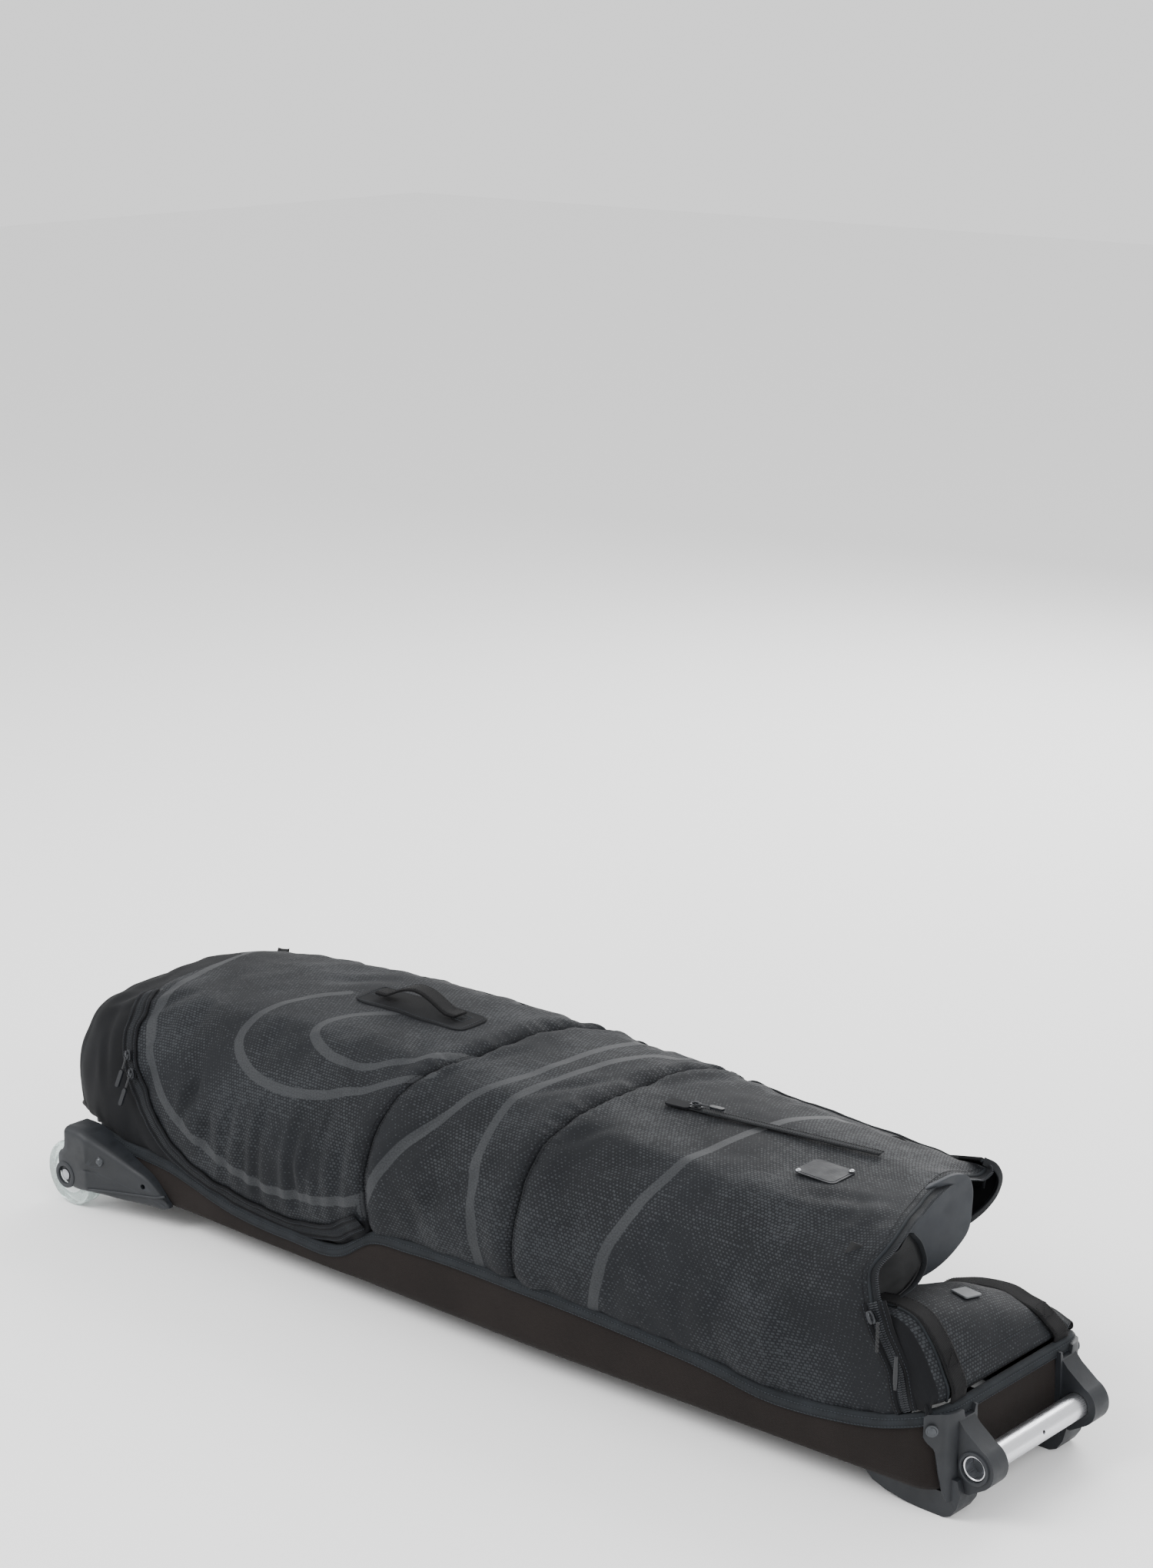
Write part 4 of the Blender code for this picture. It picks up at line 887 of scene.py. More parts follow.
def lidAt(places, x, grid):
    # points and outward ways of the finished skin at (x, s) places
    normals = gridNormals(grid)
    points, outs = [], []
    for px, ps in places:
        j = min(max(ps / 10 * (x.shape[1] - 1), 0), x.shape[1] - 1.001)
        low = int(math.floor(j))
        t = j - low
        line = x[:, low] * (1 - t) + x[:, low + 1] * t
        skin = grid[:, low] * (1 - t) + grid[:, low + 1] * t
        way = normals[:, low] * (1 - t) + normals[:, low + 1] * t
        points.append([np.interp(px, line, skin[:, c]) for c in range(3)])
        outs.append([np.interp(px, line, way[:, c]) for c in range(3)])
    return np.array(points), unit(np.array(outs))


def newNodes(tree, *kinds):
    return [tree.nodes.new(kind) for kind in kinds]


def placeTree():
    # puts copies of one piece along a line, standing on the line's own outward way
    tree = bpy.data.node_groups.new("placeAlong", "GeometryNodeTree")
    face = tree.interface
    face.new_socket("Line", in_out="INPUT", socket_type="NodeSocketGeometry")
    for name, kind in (("Piece", "Object"), ("Spacing", "Float"), ("Size", "Float"), ("Jitter", "Float"),
                       ("Seed", "Int"), ("Material", "Material")):
        face.new_socket(name, in_out="INPUT", socket_type="NodeSocket" + kind)
    face.new_socket("Made", in_out="OUTPUT", socket_type="NodeSocketGeometry")
    given, made = newNodes(tree, "NodeGroupInput", "NodeGroupOutput")
    link = tree.links.new
    toCurve, resample, cloud, alignX, alignZ, info, scaleRange, real, paint, tangent, outward = newNodes(
        tree, "GeometryNodeMeshToCurve", "GeometryNodeResampleCurve", "GeometryNodeInstanceOnPoints",
        "FunctionNodeAlignRotationToVector", "FunctionNodeAlignRotationToVector", "GeometryNodeObjectInfo",
        "FunctionNodeRandomValue", "GeometryNodeRealizeInstances", "GeometryNodeSetMaterial",
        "GeometryNodeInputTangent", "GeometryNodeInputNamedAttribute")
    resample.mode = "LENGTH"
    outward.data_type = "FLOAT_VECTOR"
    outward.inputs["Name"].default_value = "out"
    alignX.axis = "X"
    alignZ.axis = "Z"
    alignZ.pivot_axis = "X"
    link(given.outputs["Line"], toCurve.inputs["Mesh"])
    link(toCurve.outputs["Curve"], resample.inputs["Curve"])
    link(given.outputs["Spacing"], resample.inputs["Length"])
    link(resample.outputs["Curve"], cloud.inputs["Points"])
    link(tangent.outputs["Tangent"], alignX.inputs["Vector"])
    link(alignX.outputs["Rotation"], alignZ.inputs["Rotation"])
    link(outward.outputs["Attribute"], alignZ.inputs["Vector"])
    link(alignZ.outputs["Rotation"], cloud.inputs["Rotation"])
    link(given.outputs["Piece"], info.inputs["Object"])
    link(info.outputs["Geometry"], cloud.inputs["Instance"])
    low, high = newNodes(tree, "ShaderNodeMath", "ShaderNodeMath")
    low.operation = "SUBTRACT"
    high.operation = "ADD"
    for part in (low, high):
        link(given.outputs["Size"], part.inputs[0])
        link(given.outputs["Jitter"], part.inputs[1])
    floats = [s for s in scaleRange.inputs if s.type == "VALUE" and s.name in ("Min", "Max")]
    scaleRange.data_type = "FLOAT"
    link(low.outputs[0], floats[0])
    link(high.outputs[0], floats[1])
    link(given.outputs["Seed"], scaleRange.inputs["Seed"])
    chosen = next(s for s in scaleRange.outputs if s.type == "VALUE" and s.enabled)
    link(chosen, cloud.inputs["Scale"])
    link(cloud.outputs["Instances"], real.inputs["Geometry"])
    link(real.outputs["Geometry"], paint.inputs["Geometry"])
    link(given.outputs["Material"], paint.inputs["Material"])
    link(paint.outputs["Geometry"], made.inputs["Made"])
    return tree


placing = placeTree()


def placeAlong(name, points, outs, piece, spacing, size, jitter, seed, material):
    points, outs = np.asarray(points, float), unit(np.asarray(outs, float))
    mesh = bpy.data.meshes.new(name)
    mesh.from_pydata([tuple(p) for p in points], [(k, k + 1) for k in range(len(points) - 1)], [])
    way = mesh.attributes.new("out", "FLOAT_VECTOR", "POINT")
    way.data.foreach_set("vector", outs.astype(np.float32).ravel())
    line = linkObject(name, mesh)
    grow = line.modifiers.new("placed", "NODES")
    grow.node_group = placing
    values = {"Piece": piece, "Spacing": spacing, "Size": size, "Jitter": jitter, "Seed": seed,
              "Material": material}
    for item in placing.interface.items_tree:
        if item.item_type == "SOCKET" and item.in_out == "INPUT" and item.name in values:
            grow[item.identifier] = values[item.name]
    line.update_tag()
    bake(line)
    line.data.materials.clear()
    line.data.materials.append(material)
    line.data.shade_smooth()
    return line


def coilTooth():
    # one loop of a zip coil, 1 long, lying across the tape
    turns = np.linspace(0, 2 * math.pi, 11)[:-1]
    path = [(0.30 * math.sin(t), 1.45 * math.cos(t), 0.38 + 0.34 * math.sin(t + 0.6)) for t in turns]
    grid = []
    for k, p in enumerate(path):
        p, after, before = np.array(p), np.array(path[(k + 1) % 10]), np.array(path[k - 1])
        along = unit(after - before)
        side = unit(np.cross(along, (1.0, 0.0, 0.0)))
        other = np.cross(side, along)
        grid += [p + 0.24 * (math.cos(a) * side + math.sin(a) * other) for a in np.arange(5) * 2 * math.pi / 5]
    return makeMesh("coilLoop", grid, gridFaces(10, 5, True, True), mats["coil"])


def stitchMesh():
    # one stitch: a short fat thread, sunk at both ends
    path = [(t, 0.0, 0.20 * math.cos(t * 2.6)) for t in np.linspace(-0.5, 0.5, 5)]
    return tube("stitch", path, (0.06, 0.13, 0.15, 0.13, 0.06), mats["thread"], 6)


def join(name, pieces):
    # several meshes into one, keeping their own materials
    work = bmesh.new()
    materials = []
    for piece in pieces:
        index = []
        for material in piece.data.materials:
            if material not in materials:
                materials.append(material)
            index.append(materials.index(material))
        start = len(work.faces)
        work.from_mesh(piece.data)
        work.faces.ensure_lookup_table()
        for face in work.faces[start:]:
            face.material_index = index[face.material_index] if index else 0
    mesh = bpy.data.meshes.new(name)
    work.to_mesh(mesh)
    work.free()
    for material in materials:
        mesh.materials.append(material)
    for piece in pieces:
        bpy.data.objects.remove(piece)
    return linkObject(name, mesh)


loop = coilTooth()
stitch = stitchMesh()


def zipChain(name, points, outs, width=0.026, pitch=0.0022, tooth=0.0020, lift=0.0004, closed=True, seed=2):
    # tape with one or two columns of coil loops and a row of stitches at each side
    points, outs = np.asarray(points, float), unit(np.asarray(outs, float))
    across = acrossOf(points, outs)
    made = [ribbon(name + "Tape", points, outs, width, 0.0013, mats["zipTape"], 0.0, lift)]
    for side in ((-1, 1) if closed else (1,)):
        line = points + across * (side * tooth * 0.92) + outs * (lift + 0.0009)
        made.append(placeAlong(name + "Teeth", line, outs, loop, pitch, tooth * 0.62, 0.00004, seed, mats["coil"]))
    for side in (-1, 1):
        line = points + across * (side * (width / 2 - 0.0022)) + outs * (lift + 0.0013)
        made.append(stitchRow(name + "Stitch", line, outs, 0.0032, 0.0024, mats["darkThread"], seed))
    return join(name, made)


def stitchBox(name, corners, out, material=None):
    # stitches round a box and across it
    corners = np.array(corners)
    dense = np.concatenate([np.linspace(a, b, 12)[:-1] for a, b in zip(corners[:-1], corners[1:])])
    return stitchRow(name, dense, np.broadcast_to(out, dense.shape), 0.0032, 0.0026, material)


def stitchRow(name, points, outs, spacing=0.0036, size=0.0028, material=None, seed=3):
    return placeAlong(name, points, outs, stitch, spacing, size, 0.0002, seed, material or mats["thread"])


def panelPiece(name, grid, uv, distance, first, last):
    # one panel of the skin with an inner layer, closed round its edges
    part = slice(first, last + 1)
    outer = grid[part]
    inner = outer - gridNormals(outer) * lid["thick"]
    piece = layeredCloth(name, outer, inner, uv[part], mats["print"])
    lineInner(piece, outer.shape[0] * outer.shape[1])
    setBands(piece, distance[part], np.full(outer.shape[:2], farAway))
    return piece


def foldWithLid(piece):
    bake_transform(piece)


def makeLid():
    x, s, plain, seamColumns = buildLid()
    uv = clothMap(plain)
    moved = puffLid(x, s, plain, seamColumns)
    height = detailLid(x, s, plain, uv, seamColumns)
    grid = plain + moved + gridNormals(plain) * height[..., None]
    for node, margin in (("name_plate", 0.020), ("handle_patch", 0.020), ("top_zip_garage", 0.012)):
        pressUnder(grid, s, boxOf(node), margin)
    pressAlong(grid, s, (0.190, 0.030, 0.2822), (0.426, 0.070, 0.2782), 0.014)  # under the top zip
    front = np.clip((x - 0.44) / 0.05, 0, 1) * (s < 4)
    grid[..., 1] += np.maximum(-0.1345 - grid[..., 1], 0) * front
    distance = np.full(x.shape, farAway)
    for line in bandLines.values():
        distance = np.minimum(distance, lineDistance(uv, smoothLine(mapLine(line, x, s, uv), 40)))
    zipLine = smoothLine(mapLine(lid["pocketZip"], x, s, uv), 60)
    k1, k2, k3 = seamColumns[1:]
    pocket = panelPiece("pocketCloth", grid, uv, distance, 0, k1)
    middle = panelPiece("middleCloth", grid, uv, distance, k1, k2)
    front = panelPiece("frontCloth", grid, uv, distance, k2, k3)
    # cloth outside the pocket zip is plain black
    edgeLine = np.array(lid["pocketZip"])
    pocket.data.materials.append(mats["plain"])
    columns = x.shape[1]
    for polygon in pocket.data.polygons:
        place = [(x[v // columns, v % columns], s[v // columns, v % columns]) for v in polygon.vertices
                 if v < (k1 + 1) * columns]
        if len(place) == len(polygon.vertices):
            px, ps = np.mean(place, axis=0)
            (startX, _), (endX, endS) = edgeLine[0], edgeLine[-1]
            below = ps < np.interp(px, edgeLine[:, 0], edgeLine[:, 1])
            if px < startX or below or (px > endX and ps < endS):
                polygon.material_index = 2
    for piece, nodes in ((pocket, ("pocket_panel", "rear_panel")), (middle, ("middle_panel",)),
                         (front, ("front_panel",))):
        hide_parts(*nodes)
        foldWithLid(piece)
    print("lid cloth made")
    return x, s, grid, uv, zipLine


# rigid tub, its rim binding and the far side
tub = {
    "floor": 0.028, "corner": 0.035, "rear": -0.632, "front": 0.649,
    "wide": (0.150, 0.132), "taper": (0.10, 0.60), "bindingHeight": 0.0145, "bindingThick": 0.0022,
}


def halfWidth(x):
    share = np.clip((np.asarray(x, float) - tub["taper"][0]) / (tub["taper"][1] - tub["taper"][0]), 0, 1)
    return tub["wide"][0] + share * (tub["wide"][1] - tub["wide"][0])


def rimHeight(x):
    rows = np.array(rimRows)
    return hermite(rows[:, 0], rows[:, 1], np.clip(x, tub["rear"], tub["front"]))


def footprint(inset=0.0, step=0.007):
    # the tub's outline seen from above, anticlockwise from the near side
    corner = tub["corner"]
    rear, front = tub["rear"] + inset, tub["front"] - inset
    bend = corner - inset
    points = []
    xs = np.arange(rear + bend, front - bend, step)
    points += [(x, -halfWidth(x) + inset) for x in xs]
    wide = float(halfWidth(front)) - inset
    points += arcPoints((front - bend, -wide + bend), bend, -90, 0, 9)
    points += [(front, y) for y in np.arange(-wide + bend + step, wide - bend, step)]
    points += arcPoints((front - bend, wide - bend), bend, 0, 90, 9)
    points += [(x, halfWidth(x) - inset) for x in xs[::-1]]
    wide = float(halfWidth(rear)) - inset
    points += arcPoints((rear + bend, wide - bend), bend, 90, 180, 9)
    points += [(rear, y) for y in np.arange(wide - bend - step, -wide + bend, -step)]
    points += arcPoints((rear + bend, -wide + bend), bend, 180, 270, 9)[:-1]
    return np.array(points)


def outwardOf(ring):
    way = np.roll(ring, -1, axis=0) - np.roll(ring, 1, axis=0)
    out = np.stack([way[:, 1], -way[:, 0], np.zeros(len(ring))], axis=1)
    return unit(out)


def makeTub():
    ring = footprint()
    out = outwardOf(ring)
    run = runAlong(ring)
    top = rimHeight(ring[:, 0])
    heights = np.linspace(0, 1, 16)
    bulge = np.array([[noise.noise(Vector((p[0] * 9, p[1] * 9, h * 1.2))) for h in heights] for p in ring])
    shell, places = [], []
    for k, h in enumerate(heights):
        z = tub["floor"] + (top - 0.0015 - tub["floor"]) * h
        lower = 0.006 * (1 - min(h / 0.13, 1.0)) ** 2
        swell = (0.0022 * math.sin(math.pi * h) + 0.0016 * bulge[:, k] * math.sin(math.pi * h)) - lower
        row = np.column_stack([ring[:, 0], ring[:, 1], z]) + out * swell[:, None]
        shell.append(row)
        places.append(np.column_stack([run, z]))
    near = ring - out[:, :2] * 0.0055
    for h in (1.0, 0.6, 0.0):
        z = tub["floor"] + 0.004 + (rimHeight(near[:, 0]) - tub["floor"] - 0.006) * h
        shell.append(np.column_stack([near, z]))
        places.append(np.column_stack([run, z]))
    shell, places = np.array(shell), np.array(places)
    faces = gridFaces(len(shell), len(ring), closedColumns=True)
    last = (len(shell) - 1) * len(ring)
    centre = len(shell) * len(ring)
    points = np.concatenate([shell.reshape(-1, 3), [(0, 0, tub["floor"] + 0.004), (0, 0, tub["floor"])]])
    for j in range(len(ring)):
        after = (j + 1) % len(ring)
        faces.append((last + j, last + after, centre))
        faces.append((after, j, centre + 1))
    piece = makeMesh("tubCloth", points, faces, mats["tub"])
    faceOut(piece)
    setUv(piece, np.concatenate([places.reshape(-1, 2), [(0, 0), (0, 0)]]))
    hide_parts("tub_shell")
    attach(piece, "base")
    # the binding: a rounded tape folded over the rim
    high, thick = tub["bindingHeight"], tub["bindingThick"]
    shape = [(thick * 0.4, -high), (thick, -high + 0.001), (thick * 1.15, -high * 0.5), (thick, -0.0025),
             (thick * 0.3, 0.0004), (-0.003, 0.0010), (-0.0062, 0.0002), (-0.0078, -0.003), (-0.0078, -high),
             (-0.0062, -high)]
    rows = []
    for side, rise in shape:
        rows.append(np.column_stack([ring, top + rise]) + out * (side + 0.0012))
    grid = np.array(rows)
    faces = gridFaces(len(shape), len(ring), True, True)
    binding = makeMesh("rimTape", grid.reshape(-1, 3), faces, mats["binding"])
    faceOut(binding)
    across = runAlong(np.array(shape))
    places = np.stack([np.broadcast_to(run[None], (len(shape), len(run))),
                       np.broadcast_to(across[:, None], (len(shape), len(run)))], axis=-1)
    setUv(binding, places.reshape(-1, 2))
    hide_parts("rim_binding")
    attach(binding, "base")
    sewn = []
    closedRing = np.r_[ring, ring[:1]]
    outs = np.r_[out, out[:1]]
    for drop in (0.0032, high - 0.0024):
        z = rimHeight(closedRing[:, 0]) - drop
        line = np.column_stack([closedRing, z]) + outs * (thick * 1.1 + 0.0014)
        sewn.append(stitchRow("rimStitch", line, outs, 0.0042, 0.0031))
    rimLine = np.column_stack([closedRing, rimHeight(closedRing[:, 0])])
    count = int(runAlong(rimLine)[-1] / 0.0030)
    even = smoothLine(rimLine, count)
    wave = np.where(np.arange(count) % 2 == 0, -0.0048, -0.0098)
    outsEven = np.column_stack([np.interp(np.linspace(0, 1, count), np.linspace(0, 1, len(outs)), outs[:, c])
                                for c in range(3)])
    even[:, 2] += wave
    even[:, :2] += outsEven[:, :2] * (thick * 1.1 + 0.0013)
    sewn.append(tube("rimZigzag", even, 0.00042, mats["thread"], 5))
    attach(join("rimSewing", sewn), "base")
    print("tub made")


farSide = {"rear": -0.585, "front": 0.505, "thick": 0.005, "tall": 0.19,
           "band": [(-0.50, 0.02), (-0.30, 0.10), (-0.05, 0.06), (0.20, 0.12), (0.42, 0.05)]}


def makeFarSide():
    # the far wall of cloth leans over from the far rim up to the panel's edge
    xs = np.linspace(farSide["rear"], farSide["front"], 150)
    t = np.linspace(0, 1, 26)
    topX = np.minimum(xs, 0.496)
    edge = lidPoint(topX, np.full(len(xs), 10.0))
    rows = []
    for k, share in enumerate(t):
        foot = np.column_stack([xs, halfWidth(xs) - 0.001, rimHeight(xs) - 0.004])
        slant = np.clip((xs - 0.28) / 0.225, 0, 1) ** 1.3 * 0.085 * (1 - share) ** 0.8
        middle = foot * (1 - share) + edge * share
        middle[:, 1] += 0.010 * math.sin(math.pi * share)
        middle[:, 0] -= slant
        rows.append(middle)
    grid = np.stack(rows, axis=1)
    soft = softNoise(grid, 14.0)
    fade = np.sin(np.pi * t)[None, :]
    grid = grid - gridNormals(grid) * (soft * 0.0045 * fade)[..., None]
    uv = np.stack(np.meshgrid(xs, t * farSide["tall"], indexing="ij"), axis=-1)
    inner = grid.copy()
    inner[..., 1] -= farSide["thick"]
    piece = layeredCloth("farCloth", grid, inner, uv, mats["print"])
    lineInner(piece, grid.shape[0] * grid.shape[1])
    values = lineDistance(uv, smoothLine(farSide["band"], 50))
    setBands(piece, values, values)
    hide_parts("far_side_panel")
    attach(piece, "base")
    print("far side made")


# the end cloth inside the mouth, drawn over the front of the tub
gusset = {
    "rows": [(-0.128, 0.197), (-0.118, 0.203), (-0.090, 0.200), (-0.060, 0.196), (-0.010, 0.185), (0.040, 0.173),
             (0.090, 0.154), (0.128, 0.139)],
    "foot": 0.1245, "thick": 0.0045,
}


def gussetLine(y):
    top = float(hermite([r[0] for r in gusset["rows"]], [r[1] for r in gusset["rows"]], y))
    foot = gusset["foot"]
    return [(0.6405, foot), (0.6425, foot + 0.10 * (top - foot)), (0.634, foot + 0.38 * (top - foot)),
            (0.617, foot + 0.74 * (top - foot)), (0.600, top - 0.004), (0.584, top + 0.0005), (0.560, top),
            (0.520, top - 0.009), (0.497, top - 0.020), (0.492, top - 0.030)]


def endwiseOuts(line):
    # outward ways of a line that runs up and over in one plane
    outs = unit(np.column_stack([np.gradient(line[:, 2]), np.zeros(len(line)), -np.gradient(line[:, 0])]))
    return outs if outs[2, 0] > 0 else -outs


def makeGusset():
    ys = np.linspace(-0.124, 0.127, 64)
    rows = []
    for y in ys:
        profile = smoothLine([(px, 0.0, pz) for px, pz in gussetLine(y)], 44)
        profile[:, 1] = y
        edge = np.clip((abs(y) - 0.105) / 0.022, 0, 1)
        profile[:, 0] -= 0.006 * edge ** 2
        rows.append(profile)
    for end, sign in ((0, -1), (-1, 1)):
        edge = rows[end]
        for drop, near in ((0.03, 0.004), (0.12, 0.0065), (0.32, 0.0075), (0.62, 0.0080), (1.0, 0.0080)):
            aside = near if sign < 0 else near * 0.45
            wall = edge.copy()
            wall[:, 2] = 0.118 + (edge[:, 2] - 0.118) * (1 - drop)
            wall[:, 1] = edge[0, 1] + sign * aside
            rows.insert(0, wall) if sign < 0 else rows.append(wall)
    ys = np.r_[-0.134 + np.arange(5) * 0.0015, ys, 0.129 + np.arange(5) * 0.0015]
    grid = np.stack(rows, axis=0)
    swell = np.outer(np.sin(np.pi * np.linspace(0, 1, len(ys))), np.sin(np.pi * np.linspace(0, 1, 44)))
    soft = softNoise(grid, 26.0)
    normal = gridNormals(grid)
    if normal[len(ys) // 2, 5, 0] < 0:
        normal = -normal
    grid = grid + normal * (swell * 0.003 + soft * 0.0022 * swell)[..., None]
    inner = grid - normal * gusset["thick"]
    places = np.stack(np.meshgrid(ys, np.linspace(0, 0.20, 44), indexing="ij"), axis=-1)
    piece = layeredCloth("frontCover", grid, inner, places, mats["print"])
    clear = np.full(grid.shape[:2], farAway)
    setBands(piece, clear, clear)
    piece.data.materials.append(mats["plain"])
    columns = grid.shape[1]
    total = grid.shape[0] * columns
    for polygon in piece.data.polygons:
        row = min(v % total // columns for v in polygon.vertices)
        if row < 6 or row > len(ys) - 8:
            polygon.material_index = 1
    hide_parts("front_gusset")
    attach(piece, "base")
    # light piping and a stitched seam along both sides of the cover
    pieces = []
    for column in (9, -10):
        line = grid[column] + normal[column] * 0.0006
        pieces.append(tube("frontPiping", line, 0.0017, mats["binding"], 8))
        side = grid[column + (3 if column > 0 else -3)] + normal[column] * 0.0004
        pieces.append(stitchRow("frontSewing", side, normal[column], 0.0036, 0.0026))
    middle = grid[9:-9, 6] + normal[9:-9, 6] * 0.0004
    pieces.append(stitchRow("frontSewing", middle, normal[9:-9, 6], 0.0036, 0.0026))
    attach(join("frontCoverPiping", pieces), "base")
    # two straps over the cover
    for name, node, y in (("nearStrap", "strap_near", -0.0955), ("farStrap", "strap_far", 0.0905)):
        profile = smoothLine([(px, 0.0, pz) for px, pz in gussetLine(y)], 40)
        profile[:, 1] = y
        outs = endwiseOuts(profile)
        foot = [(0.6492, y, 0.1035), (0.6488, y, 0.1165), (0.6455, y, 0.1235)]
        line = np.concatenate([foot, profile[1:] + outs[1:] * 0.0042])
        line = smoothLine(line, 46)
        outs = endwiseOuts(line)
        strap = ribbon(name, line, outs, 0.0252, 0.0018, mats["webbing"], 0.12, 0.0003)
        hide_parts(node)
        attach(strap, "base")
        sewn = []
        for side in (-1, 1):
            edge = line[6:] + outs[6:] * 0.0023 + np.array((0, side * 0.0100, 0))
            sewn.append(stitchRow(name + "Edge", edge, outs[6:], 0.0034, 0.0024, mats["darkThread"]))
        box = [(0.003, -0.009), (0.003, 0.009), (0.019, 0.009), (0.019, -0.009), (0.003, -0.009), (0.019, 0.009)]
        at = line[10]
        along = unit(line[11] - line[9])
        corners = [at + along * a + np.array((0, b, 0)) + outs[10] * 0.0026 for a, b in box]
        sewn.append(stitchBox(name + "Box", corners, outs[10], mats["darkThread"]))
        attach(join(name + "Sewing", sewn), "base")
    print("front cover made")


def framed(centre, along, across):
    along = unit(np.asarray(along, float))
    outward = unit(np.cross(along, np.asarray(across, float)))
    return np.asarray(centre, float), along, np.cross(outward, along), outward


def shapeAt(name, place, outline, low, high, material, bevel=0.0006):
    # an outline of (along, across) points raised from low to high over a turned place
    centre, along, across, outward = place
    work = bmesh.new()
    rings = [[work.verts.new(centre + along * a + across * b + outward * h) for a, b in outline]
             for h in (low, high)]
    bridgeRings(work, *rings)
    work.faces.new(rings[0][::-1])
    work.faces.new(rings[1])
    return finishBmesh(name, work, material, bevel)


def roundedOutline(long, wide, corner, steps=5):
    a, b = long / 2 - corner, wide / 2 - corner
    points = arcPoints((a, b), corner, 0, 90, steps) + arcPoints((-a, b), corner, 90, 180, steps)
    points += arcPoints((-a, -b), corner, 180, 270, steps) + arcPoints((a, -b), corner, 270, 360, steps)
    return points


# the wheels
wheelSettings = {"radius": 0.042, "axle": (-0.640, 0.042), "side": 0.1726, "half": 0.012, "hub": 0.0165,
                 "edge": 0.0045}


def makeWheels():
    radius, half, hub = wheelSettings["radius"], wheelSettings["half"], wheelSettings["hub"]
    for side, name in ((-1, "near"), (1, "far")):
        centre = (wheelSettings["axle"][0], side * wheelSettings["side"], wheelSettings["axle"][1])
        profile = [(hub + 0.0004, -half + 0.002)]
        profile += [(hub + 0.002, -half + 0.0012), (radius - 0.016, -half + 0.0020)]
        profile += [(radius - 0.013, -half + 0.0004)]
        edge = wheelSettings["edge"]
        profile += arcPoints((radius - edge, -half + edge), edge, 270, 350, 6)
        profile += [(radius - 0.0003, -0.004), (radius, 0.0), (radius - 0.0003, 0.004)]
        profile += arcPoints((radius - edge, half - edge), edge, 10, 90, 6)
        profile += [(radius - 0.013, half - 0.0004), (radius - 0.016, half - 0.0020)]
        profile += [(hub + 0.002, half - 0.0012), (hub + 0.0004, half - 0.002)]
        tyre = lathe(name + "Tyre", profile, centre, mats["urethane"], 96, angle=25)
        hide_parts("tyre_" + name)
        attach(tyre, name + "_wheel")


def makeHardware():
    # CAD parts that are right as they stand get their materials
    paint = {
        "base_board": "board", "floor_rail_near": "board", "floor_rail_far": "board", "hub_near": "hub",
        "hub_far": "hub", "axle_near": "steel", "axle_far": "steel", "bearing_near_inner": "steel",
        "bearing_near_outer": "steel", "bearing_far_inner": "steel", "bearing_far_outer": "steel",
        "spacer_near": "steel", "spacer_far": "steel",
    }
    for node, key in paint.items():
        piece = bpy.data.objects.get(node)
        if piece:
            piece.data.materials.clear()
            piece.data.materials.append(mats[key])


housing = {
    "outline": [(-0.640, 0.106), (-0.626, 0.1062), (-0.612, 0.1056), (-0.602, 0.103), (-0.582, 0.094),
                (-0.560, 0.084), (-0.536, 0.073), (-0.512, 0.062), (-0.500, 0.052), (-0.486, 0.038),
                (-0.480, 0.031), (-0.486, 0.028), (-0.512, 0.0272), (-0.545, 0.0262), (-0.600, 0.027),
                (-0.628, 0.026), (-0.643, 0.031), (-0.653, 0.042), (-0.657, 0.056), (-0.655, 0.070),
                (-0.6465, 0.077), (-0.6440, 0.092), (-0.6435, 0.101)],
    "inner": 0.1525, "outer": 0.191, "taper": ((-0.600, 0.191), (-0.476, 0.1600)), "pocket": 0.0445,
    "pocketLow": 0.159, "pocketHigh": 0.1862, "rivet": (-0.5815, 0.073), "hole": (-0.5175, 0.052),
    "middle": (-0.600, 0.062),
}


def outsideY(x):
    (x1, y1), (x2, y2) = housing["taper"]
    return y1 + (y2 - y1) * float(np.clip((x - x1) / (x2 - x1), 0, 1)) ** 0.8


def cylinder(name, centre, radius, low, high, sides=56):
    work = bmesh.new()
    slab(work, [(centre[0] + radius * math.cos(t), centre[1] + radius * math.sin(t))
                for t in np.arange(sides) * 2 * math.pi / sides], low, high)
    return finishBmesh(name, work, mats["moulded"])


